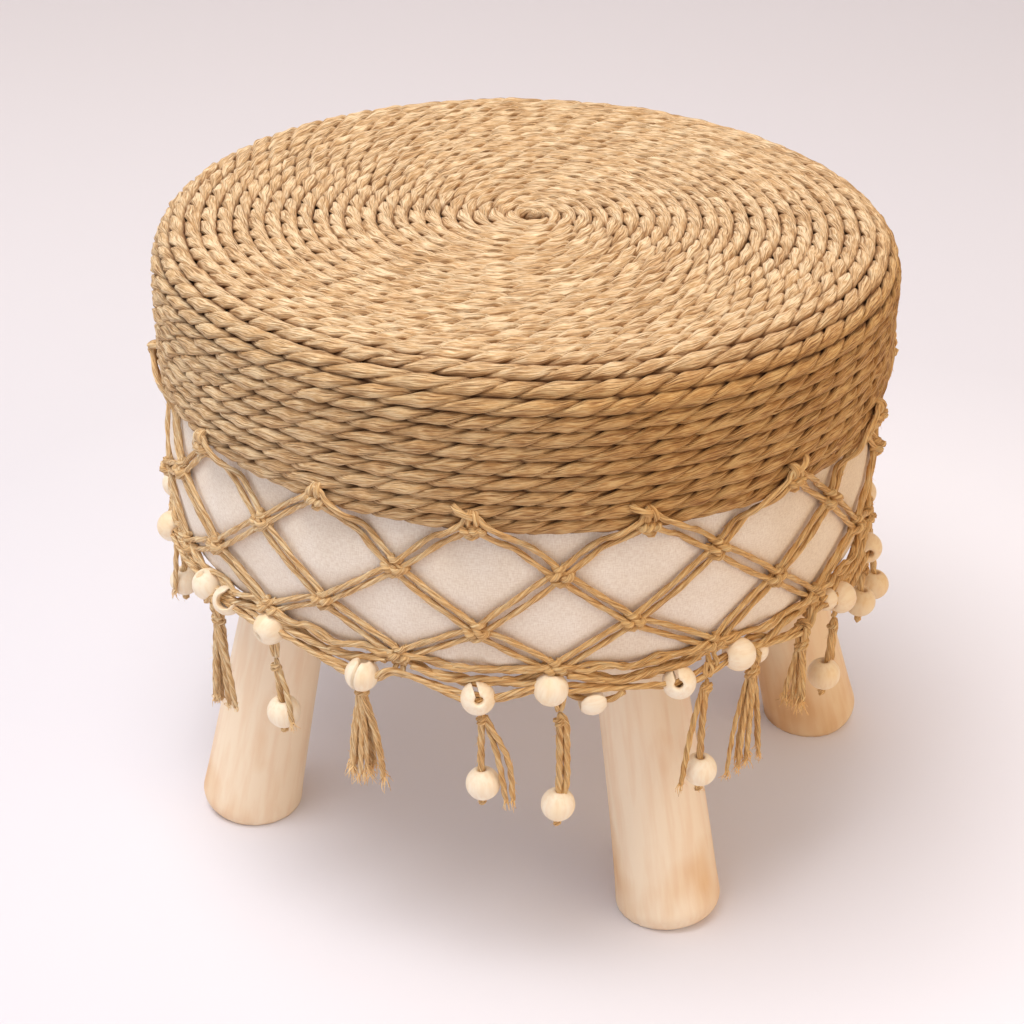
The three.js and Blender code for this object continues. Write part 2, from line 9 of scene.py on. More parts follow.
import bpy
import numpy as np
from mathutils import Matrix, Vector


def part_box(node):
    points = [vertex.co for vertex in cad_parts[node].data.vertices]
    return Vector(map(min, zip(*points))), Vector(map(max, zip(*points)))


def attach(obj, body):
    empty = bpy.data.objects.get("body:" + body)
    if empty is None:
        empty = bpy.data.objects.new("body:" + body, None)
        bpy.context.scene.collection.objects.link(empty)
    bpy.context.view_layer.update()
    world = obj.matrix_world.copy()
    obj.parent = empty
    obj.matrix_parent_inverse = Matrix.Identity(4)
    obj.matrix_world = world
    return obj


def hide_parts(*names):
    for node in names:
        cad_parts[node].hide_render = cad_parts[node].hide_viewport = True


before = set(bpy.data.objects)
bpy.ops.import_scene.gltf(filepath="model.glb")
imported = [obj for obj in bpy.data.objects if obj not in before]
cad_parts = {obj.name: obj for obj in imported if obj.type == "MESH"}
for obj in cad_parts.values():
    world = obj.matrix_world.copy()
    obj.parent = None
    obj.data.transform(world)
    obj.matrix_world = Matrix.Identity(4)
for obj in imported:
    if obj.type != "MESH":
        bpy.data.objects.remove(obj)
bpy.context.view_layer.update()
chance = np.random.default_rng(20)

MM = 0.001

# Seat and drum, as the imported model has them
CAP_RADIUS = 0.190
SEAT_HEIGHT = 0.337
SEAT_CROWN = 0.003
SHOULDER_RADIUS = 0.022
CAP_HEM = 0.2493
HEM_TUCK = 0.0016  # how much further in the lowest turn of the rope lies
HEM_TUCK_HEIGHT = 0.012
DRUM_BOTTOM = 0.172
DRUM_RADIUS = 0.1865
DRUM_FOOT_RADIUS = 0.185
DRUM_FILLET = 0.012
BELLY_HEIGHT = 0.218
CLOTH_HEM_RADIUS = 0.162
BOARD_TOP = 0.1866
LINING_TOP = 0.1717
LINING_THICKNESS = 0.001
LINING_RADIUS = 0.170

# The camera
CAMERA_PLACE = (-0.00437, -0.95684, 0.70984)
CAMERA_PITCH = 0.525
CAMERA_ROLL = 0.021
CAMERA_LENS = 70.31
CAMERA_SENSOR = 36
PHOTO_SIZE = 1024

# Fine fibres that stand off a cord
HAIR_RADIUS = 0.00011
HAIR_TAPER = np.array([1.0, 0.8, 0.35])
HAIR_LENGTH = 0.0036
HAIR_RUN_SHARES = (0.4, 1.2)
HAIR_RISE_SHARES = (0.15, 0.7)

# Jute cord
CORD_RADIUS = 0.0019
CORD_PLIES = 4
CORD_TWIST = 0.034
CORD_STEP = 0.0012
CORD_GROOVE_SHARE = 0.20  # depth of the groove between plies
CORD_WANDER = (0.010, 0.04)  # length over which its thickness changes, and by what share


# Scene and meshes


def in_scene(name, data):
    made = bpy.data.objects.new(name, data)
    bpy.context.scene.collection.objects.link(made)
    return made


def facing(place, across, upright, ahead):
    """The matrix of a camera or a lamp that looks ahead."""
    turn = Matrix(np.stack([across, upright, -ahead], axis=1).tolist()).to_4x4()
    return Matrix.Translation(place) @ turn


def add_camera():
    """A camera at the photographed angle: it looks along +Y, down by its pitch, and leans a little."""
    data = bpy.data.cameras.new("camera")
    data.lens = CAMERA_LENS
    data.sensor_width = CAMERA_SENSOR
    ahead = np.array([0, math.cos(CAMERA_PITCH), -math.sin(CAMERA_PITCH)])
    up = np.array([0, math.sin(CAMERA_PITCH), math.cos(CAMERA_PITCH)])
    right = np.array([1.0, 0, 0])
    across = right * math.cos(CAMERA_ROLL) + up * math.sin(CAMERA_ROLL)
    upright = up * math.cos(CAMERA_ROLL) - right * math.sin(CAMERA_ROLL)
    camera = in_scene("camera", data)
    camera.matrix_world = facing(CAMERA_PLACE, across, upright, ahead)
    bpy.context.scene.camera = camera


class Surface:
    """Points, faces and two point values, gathered from tubes and turned shapes: where a point lies
    among the fibres, and how open it is to the light (0 in a groove, 1 on a crest)."""

    def __init__(self):
        self.points, self.fibres, self.tones, self.quads, self.others, self.count = [], [], [], [], [], 0

    def add(self, points, quads, others=(), fibres=None, tones=None):
        points = points.reshape(-1, 3)
        self.points.append(points)
        self.fibres.append(np.zeros(points.shape) if fibres is None else fibres.reshape(-1, 3))
        self.tones.append(np.ones(len(points)) if tones is None else tones.ravel())
        self.quads.append(np.reshape(quads, (-1, 4)) + self.count)
        self.others += [[i + self.count for i in face] for face in others]
        self.count += len(points)

    def mesh(self, name):
        points = np.concatenate(self.points)
        quads = np.concatenate(self.quads)
        corners = np.concatenate([quads.ravel()] + [np.array(face, int) for face in self.others])
        sizes = np.array([4] * len(quads) + [len(face) for face in self.others], np.int32)
        starts = np.concatenate([[0], np.cumsum(sizes)[:-1]])
        mesh = bpy.data.meshes.new(name)
        mesh.vertices.add(len(points))
        mesh.vertices.foreach_set("co", points.astype(np.float32).ravel())
        mesh.loops.add(len(corners))
        mesh.loops.foreach_set("vertex_index", corners.astype(np.int32))
        mesh.polygons.add(len(sizes))
        mesh.polygons.foreach_set("loop_start", starts.astype(np.int32))
        mesh.polygons.foreach_set("use_smooth", np.ones(len(sizes), bool))
        mesh.update(calc_edges=True)
        mesh.validate()
        for value, kind, field, rows in (
            ("fibre", "FLOAT_VECTOR", "vector", self.fibres),
            ("tone", "FLOAT", "value", self.tones),
        ):
            given = mesh.attributes.new(value, kind, "POINT")
            given.data.foreach_set(field, np.concatenate(rows).astype(np.float32).ravel())
        return mesh


def grid(rows, sides, closed=False, gap=0):
    """Faces between rows of points. A row closes on itself, unless it has a gap of 1, and the last
    row meets the first where the grid is closed."""
    i = np.arange(rows if closed else rows - 1)[:, None]
    j = np.arange(sides - gap)[None]
    up = (i + 1) % rows
    k = (j + 1) % sides
    return np.stack([i * sides + j, i * sides + k, up * sides + k, up * sides + j], axis=-1)


def piece(name, surface, material, replaces=(), body="root"):
    """A shown object made of a surface, riding on a body of the frame."""
    made = in_scene(name, surface.mesh(name))
    made.data.materials.append(material)
    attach(made, body)
    if replaces:
        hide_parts(*replaces)
    return made


# Lines and cords


def unit(vectors):
    return vectors / np.maximum(np.linalg.norm(vectors, axis=-1, keepdims=True), 1e-12)


def eased(share):
    """A share from 0 to 1, level at both ends."""
    return share * share * (3 - 2 * share)


def corners(sides):
    """Angles of a section's corners."""
    return np.arange(sides) * 2 * np.pi / sides


def directions_at(degrees):
    """Directions round the seat and outwards, at a place in degrees round it."""
    a = math.radians(degrees)
    return np.array([-math.sin(a), math.cos(a), 0]), np.array([math.cos(a), math.sin(a), 0])


def degrees_of(point):
    return math.degrees(math.atan2(point[1], point[0]))


def along_line(line):
    return np.concatenate([[0], np.cumsum(np.linalg.norm(np.diff(line, axis=0), axis=1))])


def even(line, step):
    along = along_line(line)
    at = np.linspace(0, along[-1], max(3, int(round(along[-1] / step)) + 1))
    return np.stack([np.interp(at, along, line[:, k]) for k in range(line.shape[1])], axis=1)


def smooth_line(points, step=CORD_STEP):
    """A smooth line through the points, with points at even steps."""
    points = np.asarray(points, float)
    ends = np.concatenate([[2 * points[0] - points[1]], points, [2 * points[-1] - points[-2]]])
    a, b, c, d = ends[:-3], ends[1:-2], ends[2:-1], ends[3:]
    t = np.linspace(0, 1, 13)[:-1, None, None]
    bend = 2 * a - 5 * b + 4 * c - d
    cubic = 0.5 * (2 * b + (c - a) * t + bend * t**2 + (3 * b - a - 3 * c + d) * t**3)
    fine = np.concatenate([cubic.transpose(1, 0, 2).reshape(-1, points.shape[1]), points[-1:]])
    return even(fine, step)


def carried_frames(line):
    """Two directions across the line at each point, carried along it without turning round it."""
    ahead = unit(np.gradient(line, axis=0))
    first = np.cross(ahead[0], [0.3, 0.5, 0.81])
    sides = np.zeros_like(line)
    side = first / np.linalg.norm(first)
    for i, t in enumerate(ahead):
        side = side - t * (side @ t)
        side = side / math.sqrt(side @ side)
        sides[i] = side
    return sides, np.cross(ahead, sides)


def wander(s, length, size):
    """A smooth random value along a cord that changes over about a length."""
    values = chance.normal(0, size, int(s[-1] / length) + 3)
    at = s / length
    i = at.astype(int)
    t = eased(at - i)
    return values[i] * (1 - t) + values[i + 1] * t


def rings_tube(surface, rings, fibres=None, tones=None):
    """A closed tube through rings of points."""
    rows, sides = rings.shape[:2]
    caps = [list(range(sides))[::-1], list(range((rows - 1) * sides, rows * sides))]
    surface.add(rings, grid(rows, sides), caps, fibres, tones)


def tube(surface, line, first, second, across, up, fibres=None, tones=None):
    """A closed tube: across and up are the section's points, ring by ring, along two directions."""
    rings = line[:, None] + across[..., None] * first[:, None] + up[..., None] * second[:, None]
    rings_tube(surface, rings, fibres, tones)


def twisted_cord(surface, line, radius, plies=CORD_PLIES, twist=CORD_TWIST, thin=None):
    """A twisted cord along a line: its section has a ridge for each ply and turns as it goes.
    thin is the radius at each point, as a share of the cord's."""
    first, second = carried_frames(line)
    s = along_line(line)
    sides = 2 * plies
    corner = corners(sides)
    in_groove = np.arange(sides) % 2
    start = chance.uniform(0, 2 * np.pi)
    turn = corner[None] + (start - 2 * np.pi * s / twist)[:, None]
    reach = radius * np.where(in_groove, 1 - CORD_GROOVE_SHARE, 1.0)[None]
    uneven = 1 + np.stack([wander(s, *CORD_WANDER) for _ in range(sides)], axis=1)
    reach = reach * uneven * (1 if thin is None else np.asarray(thin)[:, None])
    far = chance.uniform(0, 50)
    ply = corner + 0 * turn
    fibres = np.stack([radius * np.cos(ply), radius * np.sin(ply), s[:, None] + far + 0 * ply], axis=-1)
    # Painted shade: each groove between the plies gets half the tone
    tones = np.where(in_groove, 0.5, 1.0) + 0 * turn
    tube(surface, line, first, second, reach * np.cos(turn), reach * np.sin(turn), fibres, tones)


def cord_through(surface, points, share, **style):
    """A twisted cord through some points. share is its thickness, as a share of the usual cord's."""
    twisted_cord(surface, smooth_line(points), CORD_RADIUS * share, **style)


def fuzz(surface, line, radius, count, outward=None):
    """Fine single fibres that stand off a cord. outward is a direction at each point of the line
    that they lean to."""
    at = chance.integers(1, len(line) - 1, count)
    ahead = unit(line[at + 1] - line[at - 1])
    away = chance.normal(0, 1, (count, 3)) + (0 if outward is None else outward[at] * 2)
    away = unit(away - ahead * (away * ahead).sum(1, keepdims=True))
    beside = np.cross(ahead, away)
    run = HAIR_LENGTH * chance.uniform(*HAIR_RUN_SHARES, (count, 1)) * ahead
    run = run * chance.choice([-1, 1], (count, 1))
    rise = HAIR_LENGTH * chance.uniform(*HAIR_RISE_SHARES, (count, 1)) * away
    base = line[at] + away * radius * 0.85
    middles = np.stack([base, base + run * 0.55 + rise * 0.35, base + run + rise], axis=1)
    turn = corners(3)
    around = np.cos(turn)[:, None] * away[:, None] + np.sin(turn)[:, None] * beside[:, None]
    points = middles[:, :, None] + (HAIR_RADIUS * HAIR_TAPER)[:, None, None] * around[:, None]
    starts = np.arange(count) * 9
    caps = [[n + 2, n + 1, n] for n in starts] + [[n + 6, n + 7, n + 8] for n in starts]
    surface.add(points, starts[:, None, None, None] + grid(3, 3), caps)


# Materials


def srgb(*levels):
    """Levels from 0 to 255 as linear colour."""
    def linear(level):
        share = level / 255
        return share / 12.92 if share <= 0.04045 else ((share + 0.055) / 1.055) ** 2.4
    return [linear(level) for level in levels] + [1.0]


WHITE = (1.0, 1.0, 1.0, 1.0)

# Rope and cord: dark, middle and light fibres; painted shade in the groove between plies, lighter on the
# top of the stool than below it; how fine the streaks are; depth of the relief; and painted side shade
# below the top, as tints at the left and the right
ROPE_LOOK = {
    "shades": (srgb(204, 162, 113), srgb(233, 197, 152), srgb(249, 223, 184)),
    "groove_shades": (srgb(166, 118, 74), srgb(98, 60, 27)),
    "stripe": 190,
    "depth": 0.001,
    "side_shade_tints": ((0.95, 0.94, 0.89, 1.0), (0.74, 0.58, 0.34, 1.0)),
}
JUTE_LOOK = {
    "shades": (srgb(236, 193, 134), srgb(252, 217, 164), srgb(255, 236, 196)),
    "groove_shades": (srgb(160, 106, 52), srgb(160, 106, 52)),
    "stripe": 260,
    "depth": 0.0006,
    "side_shade_tints": (WHITE, (0.91, 0.79, 0.58, 1.0)),
}
STRAND_SHADE = (0.55, 0.46, 0.38, 1.0)  # between the strands of a ply, as a share of the ply's colour
PATCH_SHARE = 0.35  # how much of a ply's unevenness is broad patches
# Painted side shade of rope and cord: where along X it goes from the left tint to the right one, and the
# heights over which it comes in below the top of the stool; the painted groove shade goes from its top
# colour to its side colour over the same heights
SIDE_SHADE_FROM_TO = (-0.14, 0.06)
SIDE_SHADE_BELOW = (0.335, 0.322)

# Painted shade: linen and wood are darker and yellower towards +X
LINEN_WOOD_SHADE_FROM_TO = (0.09, 0.185)
LINEN_SHADE_TINT = (0.86, 0.74, 0.54, 1.0)
WOOD_SHADE_TINT = (0.90, 0.78, 0.60, 1.0)
LINEN_SCALE = 380
LINEN_STRETCH = 5
LINEN_THREADS = (srgb(233, 217, 200), srgb(250, 239, 225))
LINEN_PATCHES = (srgb(247, 243, 238), WHITE)

# Wood: light, dark, stain, scale of the grain, roughness
WOOD_LOOKS = {
    "bead_wood": (srgb(250, 234, 208), srgb(246, 225, 195), srgb(253, 246, 234), 60, 0.45),
    "leg_wood": (srgb(249, 227, 198), srgb(244, 216, 184), srgb(240, 219, 194), 18, 0.5),
}
# What the stool holds inside and below: dark, light, scale of the pattern, roughness, relief, metal
PLAIN_LOOKS = {
    "foam": (srgb(240, 228, 178), srgb(250, 240, 200), 300, 0.95, 0.4, 0.0),
    "steel": (srgb(176, 180, 184), srgb(200, 204, 208), 900, 0.32, 0.1, 1.0),
    "felt": (srgb(196, 190, 178), srgb(222, 216, 204), 700, 0.95, 0.5, 0.0),
    "plywood": (srgb(196, 164, 116), srgb(218, 190, 144), 60, 0.75, 0.2, 0.0),
}


class Look:
    """The nodes of a material or of the room, with short ways to add to them."""

    def __init__(self, owner):
        owner.use_nodes = True
        self.owner = owner
        self.nodes = owner.node_tree.nodes
        self.link = owner.node_tree.links.new

    def add(self, kind, sockets=(), **settings):
        """A new node. What a socket is given is a value, or an output to link it to."""
        node = self.nodes.new("ShaderNode" + kind)
        for key, value in settings.items():
            setattr(node, key, value)
        for socket, value in dict(sockets).items():
            if isinstance(value, bpy.types.NodeSocket):
                self.link(value, node.inputs[socket])
            else:
                node.inputs[socket].default_value = value
        return node

    def ramp(self, factor, *stops):
        node = self.add("ValToRGB", {"Fac": factor})
        elements = node.color_ramp.elements
        while len(elements) < len(stops):
            elements.new(0.5)
        for element, (place, colour) in zip(elements, stops):
            element.position = place
            element.color = colour
        return node.outputs["Color"]

    def mixed(self, share, first, second, blend="MIX"):
        sockets = {"Fac": share, "Color1": first, "Color2": second}
        return self.add("MixRGB", sockets, blend_type=blend).outputs[0]

    def tinted(self, colour, tint):
        return self.mixed(1.0, colour, tint, "MULTIPLY")

    def share_of(self, value, ends):
        """0 to 1 as a value goes from one end to the other."""
        return self.add("MapRange", {"Value": value, "From Min": ends[0], "From Max": ends[1]}).outputs[0]

    def place_share(self, axis, ends):
        """0 to 1 along one of the frame's axes."""
        place = self.add("SeparateXYZ", {0: self.add("TexCoord").outputs["Object"]})
        return self.share_of(place.outputs[axis], ends)

    def fibres(self, stretch):
        """A point's place among the fibres, stretched."""
        where = self.add("Attribute", attribute_name="fibre").outputs["Vector"]
        return self.add("VectorMath", {0: where, 1: stretch}, operation="MULTIPLY").outputs[0]

    def noise(self, where, scale, detail=2.0):
        return self.add("TexNoise", {"Vector": where, "Scale": scale, "Detail": detail}).outputs["Fac"]

    def grain(self, stretch, scale, detail=2.0):
        """Noise drawn out along the fibres: stretch is how much finer it is across them."""
        return self.noise(self.fibres((stretch, stretch, 1)), scale, detail)

    def painted_side_shade(self, colour, tint):
        """The colour, multiplied by a tint of painted shade on the side of the stool towards +X."""
        return self.tinted(colour, self.mixed(self.place_share("X", LINEN_WOOD_SHADE_FROM_TO), WHITE, tint))

    def surfaced(self, colour, roughness, height=None, strength=0.0, depth=0.0, **more):
        """The material, with its colour, roughness and relief."""
        shader = self.nodes["Principled BSDF"]
        shader.inputs["Roughness"].default_value = roughness
        for socket, value in more.items():
            shader.inputs[socket.replace("_", " ")].default_value = value
        self.link(colour, shader.inputs["Base Color"])
        if height is not None:
            relief = self.add("Bump", {"Height": height, "Strength": strength, "Distance": depth})
            self.link(relief.outputs["Normal"], shader.inputs["Normal"])
        return self.owner


def plant_fibre(name, shades, groove_shades, stripe, depth, side_shade_tints):
    """Rope or cord of plant fibre: streaks along the ply, uneven colour, painted shade in the groove
    between plies and a fibrous relief. The painted groove shade is lighter on the top of the stool than
    below it. Below the top the fibre has painted side shade, slight at the left and darker and warmer
    towards +X."""
    look = Look(bpy.data.materials.new(name))
    streaks = look.grain(10, stripe, 3.0)
    strands = look.grain(17, stripe * 0.36)
    patches = look.grain(1.5, 75)
    both = look.add("Mix", {0: PATCH_SHARE, 2: streaks, 3: patches}, data_type="FLOAT").outputs[0]
    lit = look.ramp(both, *zip((0.40, 0.5, 0.6), shades))
    stranded = look.tinted(lit, look.ramp(strands, (0.37, STRAND_SHADE), (0.48, WHITE)))
    # Painted side shade below the top, darker and warmer towards +X
    below = look.place_share("Z", SIDE_SHADE_BELOW)
    round_side = look.mixed(look.place_share("X", SIDE_SHADE_FROM_TO), *side_shade_tints)
    warmed = look.tinted(stranded, look.mixed(below, WHITE, round_side))
    # Painted shade: the tone mixes in the groove shade colour, lighter on the top of the stool than on the
    # side
    tone = look.add("Attribute", attribute_name="tone").outputs["Fac"]
    shaded = look.mixed(tone, look.mixed(below, *groove_shades), warmed)
    height = look.add("Math", {0: streaks, 1: strands}, operation="ADD").outputs[0]
    return look.surfaced(shaded, 0.8, height, 0.9, depth)


def linen_cloth():
    """Plain weave: noise drawn out along two sets of threads, with slubs and a faint unevenness."""
    look = Look(bpy.data.materials.new("linen"))
    stretches = ((1, LINEN_STRETCH, 1), (LINEN_STRETCH, 1, 1))
    threads = [look.noise(look.fibres(stretch), LINEN_SCALE) for stretch in stretches]
    woven = look.add("Math", {0: threads[0], 1: threads[1]}, operation="ADD").outputs[0]
    halved = look.add("Math", {0: woven, 1: 0.5}, operation="MULTIPLY").outputs[0]
    broad = look.noise(look.fibres((1, 1, 1)), 35)
    colour = look.tinted(
        look.ramp(halved, *zip((0.38, 0.6), LINEN_THREADS)),
        look.ramp(broad, *zip((0.3, 0.7), LINEN_PATCHES)),
    )
    return look.surfaced(look.painted_side_shade(colour, LINEN_SHADE_TINT), 0.9, halved, 0.5, 0.0004, Sheen_Weight=0.12)


def pale_wood(name):
    """Pale wood with faint grain along the piece and broad patches of a darker stain."""
    light, dark, stain, scale, roughness = WOOD_LOOKS[name]
    look = Look(bpy.data.materials.new(name))
    grain = look.grain(9, scale, 5.0)
    broad = look.grain(1.8, scale * 0.6, 3.0)
    streak = look.ramp(grain, (0.38, dark), (0.55, light))
    colour = look.tinted(streak, look.ramp(broad, (0.38, stain), (0.52, WHITE)))
    return look.surfaced(look.painted_side_shade(colour, WOOD_SHADE_TINT), roughness, grain, 0.1, 0.0003)


def plain_stuff(name):
    """Foam, felt, plywood or steel, patterned by its place."""
    low, high, scale, roughness, strength, metal = PLAIN_LOOKS[name]
    look = Look(bpy.data.materials.new(name))
    pattern = look.noise(look.add("TexCoord").outputs["Object"], scale, 4.0)
    colour = look.ramp(pattern, (0.35, low), (0.65, high))
    return look.surfaced(colour, roughness, pattern, strength, 0.0005, Metallic=metal)


# The seat's rope: two plies, laid in one spiral from the middle of the top to the lowest row of the
# side

ROPE_RADIUS = 0.0037
ROPE_PITCH = 0.008
ROPE_SIDE_PITCH = 0.0074
ROPE_EYE_SHIFT = (0.001, -0.0135)  # the spiral's middle is off the seat's
ROPE_EYE_FADE = 0.8
ROPE_EYE_RADIUS = 0.0042
ROPE_TWISTS = (0.031, 0.040)  # one full turn of a ply, on the top and on the side
ROPE_STEP = 0.0024
PLY_OFFSET = 0.0017
PLY_HALF_DEPTH = 0.0023
PLY_HALF_WIDTH = 0.0037
PLY_SIDES = 12
PLY_GROOVE = 0.0006  # skin no further out than this from the rope's axis is in a groove, and gets painted shade
PLY_CREST = 0.0025
PLIES_APART = 40.0  # between the plies' places among the fibres, so that their patterns differ
ROPE_HAIRS = 400  # to each ply of each piece
# Unevenness along the rope: the length over which a value changes, and its size, which is in radians
# a step for the twist and else a share
TWIST_WANDER = (0.03, 0.06)
SIZE_WANDER = (0.011, 0.06)
LIFT_WANDER = (0.019, 0.08)
BUNDLE_WANDER = (0.018, 0.085)
# The rope's pieces: where each ends along the seat's profile, and the node that it replaces
ROPE_PIECES = {
    "rope_top_inner": (0.130, "rope_top_coil"),
    "rope_top_outer": (0.1823, "rope_top_coil"),
    "rope_side_upper": (0.220, "rope_side_winding"),
    "rope_side_lower": (1.0, "rope_side_winding"),
}

# The seat's profile, along the rope's middle: the flat top, the shoulder and the side
RIM = CAP_RADIUS - SHOULDER_RADIUS
SHOULDER_ARC = (SHOULDER_RADIUS - ROPE_RADIUS) * math.pi / 2
CAP_SIDE = SEAT_HEIGHT - SEAT_CROWN - SHOULDER_RADIUS - CAP_HEM - ROPE_RADIUS
CAP_LENGTH = RIM + SHOULDER_ARC + CAP_SIDE


def hem_tuck(height):
    return HEM_TUCK * np.clip(1 - (height - CAP_HEM - ROPE_RADIUS) / HEM_TUCK_HEIGHT, 0, 1)


def cap_point(distance, depth):
    """Radius, height and the outward direction's angle at a distance along the seat's profile."""
    angle = math.pi / 2 * (1 - np.clip((distance - RIM) / SHOULDER_ARC, 0, 1))
    reach = SHOULDER_RADIUS - depth
    below = np.maximum(distance - RIM - SHOULDER_ARC, 0)
    rise = SEAT_CROWN * np.clip(1 - distance / RIM, 0, 1)
    r = np.minimum(distance, RIM) + reach * np.cos(angle)
    z = SEAT_HEIGHT - SEAT_CROWN + rise - SHOULDER_RADIUS + reach * np.sin(angle) - below
    return r - hem_tuck(z), z, angle


def rope_line():
    """Middle line of the rope: points, outward directions, distances along the profile and along
    the rope."""
    step = ROPE_PITCH / 720  # half a degree of a turn on the top
    distance = np.arange(ROPE_EYE_RADIUS, CAP_LENGTH, step)
    pitch = np.interp(distance, [RIM, RIM + SHOULDER_RADIUS], [ROPE_PITCH, ROPE_SIDE_PITCH])
    turn = 2 * np.pi * np.concatenate([[0], np.cumsum(np.diff(distance) / pitch[1:])])
    r, z, _ = cap_point(distance, ROPE_RADIUS)
    off = np.outer(np.clip(1 - r / RIM, 0, 1) ** ROPE_EYE_FADE, ROPE_EYE_SHIFT)
    x, y = r * np.cos(turn) + off[:, 0], r * np.sin(turn) + off[:, 1]
    table = np.stack([x, y, z, turn, distance], axis=1)
    s = along_line(table[:, :3])
    at = np.arange(0, s[-1], ROPE_STEP)
    x, y, z, turn, distance = (np.interp(at, s, column) for column in table.T)
    angle = cap_point(distance, ROPE_RADIUS)[2]
    out = np.stack([np.cos(angle) * np.cos(turn), np.cos(angle) * np.sin(turn), np.sin(angle)], axis=1)
    return np.stack([x, y, z], axis=1), out, distance, at


def rope_pieces(material):
    """Two plies wound round each other. Each keeps its fibres straight along itself."""
    line, out, distance, s = rope_line()
    ahead = unit(np.gradient(line, axis=0))
    out = unit(out - ahead * (out * ahead).sum(1, keepdims=True))
    beside = np.cross(out, ahead)
    twist = np.interp(distance, [RIM - SHOULDER_RADIUS, RIM + SHOULDER_RADIUS], ROPE_TWISTS)
    phase = np.cumsum(2 * np.pi * ROPE_STEP / twist + wander(s, *TWIST_WANDER))
    surfaces = [Surface() for _ in ROPE_PIECES]
    ends = [end for end, _ in ROPE_PIECES.values()]
    corner = corners(PLY_SIDES)
    for ply in range(2):
        psi = phase[:, None] + ply * np.pi
        size = 1 + wander(s, *SIZE_WANDER)[:, None]
        lift = PLY_OFFSET * (1 + wander(s, *LIFT_WANDER)[:, None])
        bundles = 1 + np.stack([wander(s, *BUNDLE_WANDER) for _ in corner], axis=1)
        to_ply = out * np.cos(psi) + beside * np.sin(psi)
        round_ply = beside * np.cos(psi) - out * np.sin(psi)
        middle = line + to_ply * lift
        turn = corner - psi
        deep = PLY_HALF_DEPTH * size * np.cos(turn) * bundles
        wide = PLY_HALF_WIDTH * size * np.sin(turn) * bundles
        # Painted shade: skin that lies low, in a groove between the plies or between the rows, gets a dark
        # tone
        raised = (lift + deep) * np.cos(psi) - wide * np.sin(psi)
        tones = np.clip((raised - PLY_GROOVE) / (PLY_CREST - PLY_GROOVE), 0, 1)
        skin = corner + 0 * turn
        far = s[:, None] + PLIES_APART * ply + 0 * turn
        fibres = np.stack([PLY_HALF_WIDTH * np.cos(skin), PLY_HALF_WIDTH * np.sin(skin), far], axis=-1)
        parts = (middle, to_ply, round_ply, deep, wide, fibres, tones)
        for surface, start, end in zip(surfaces, [0.0] + ends, ends):
            first, last = np.searchsorted(distance, (start, end))
            here = slice(first, last + 1)
            tube(surface, *(part[here] for part in parts))
            fuzz(surface, line[here], ROPE_RADIUS * 0.8, ROPE_HAIRS, out[here])
    for surface, (name, (_, node)) in zip(surfaces, ROPE_PIECES.items()):
        piece(name, surface, material, [node])


# The net's knots: four rows, every second row half a column further on

NET_COLUMNS = 15
NET_START = -96.5
NET_ROWS = [0.263, 0.232, 0.202, 0.183]
NET_RADIUS = 0.190  # round which the net is laid out flat
NET_TRIP = 2 * math.pi * NET_RADIUS
PEAK_RADIUS = CAP_RADIUS + 0.002  # of the top row's knots, which lie on the rope
KNOT_SCATTER = 0.0008
MOST_KNOT_SHIFT = 0.009
# Where the photograph shows the knots, in its pixels: by column, a row to a line
PHOTO_KNOTS = [
    {13: (200, 440), 14: (315, 494), 0: (472, 523), 1: (651, 519), 2: (796, 475), 3: (879, 408)},
    {12: (183, 474), 13: (258, 522), 14: (393, 569), 0: (560, 578), 1: (721, 550), 2: (835, 500),
     3: (877, 453)},
    {13: (215, 545), 14: (322, 600), 0: (477, 633), 1: (634, 622), 2: (777, 577), 3: (858, 525)},
    {12: (187, 547), 13: (267, 609), 14: (398, 657), 0: (555, 671), 1: (715, 645), 2: (815, 597)},
]
FLUSH_PEAK = (0, 12)  # the photograph shows no knot on the left edge: this one lies further round
FLUSH_PEAK_BACK = 0.011
KNOTS = {}  # the knots' places, laid out flat, which main works out once the camera stands


def through_camera(pixel, radius):
    """Where the camera's ray through a pixel of the photograph meets an upright cylinder."""
    camera = bpy.context.scene.camera
    reach = CAMERA_LENS / camera.data.sensor_width * PHOTO_SIZE
    turn = np.array(camera.matrix_world.to_3x3())
    half = PHOTO_SIZE / 2
    way = turn @ np.array([(pixel[0] - half) / reach, (half - pixel[1]) / reach, -1])
    start = np.array(CAMERA_PLACE)
    a = way[0] ** 2 + way[1] ** 2
    b = start[0] * way[0] + start[1] * way[1]
    c = start[0] ** 2 + start[1] ** 2 - radius**2
    root = b * b - a * c
    if root < 0:
        return None
    return start + way * (-b - math.sqrt(root)) / a


def place_knots():
    """Where each knot lies, laid out flat: as in the photograph, or near its even place where the
    photograph doesn't show it."""
    places = {}
    for row, height in enumerate(NET_ROWS):
        for column in range(NET_COLUMNS):
            degrees = NET_START + (column + (row % 2) / 2) * 360 / NET_COLUMNS
            even_place = np.array([math.radians(degrees) * NET_RADIUS, height])
            places[row, column] = even_place + chance.normal(0, KNOT_SCATTER, 2)
            if (row, column) == FLUSH_PEAK:
                places[row, column] = even_place - [FLUSH_PEAK_BACK, 0]
            seen = PHOTO_KNOTS[row].get(column)
            hit = through_camera(seen, PEAK_RADIUS if row == 0 else NET_RADIUS) if seen else None
            if hit is not None:
                x = math.atan2(hit[1], hit[0]) * NET_RADIUS
                x += NET_TRIP * round((even_place[0] - x) / NET_TRIP)
                shift = np.array([x, hit[2]]) - even_place
                places[row, column] = even_place + np.clip(shift, -MOST_KNOT_SHIFT, MOST_KNOT_SHIFT)
    return places


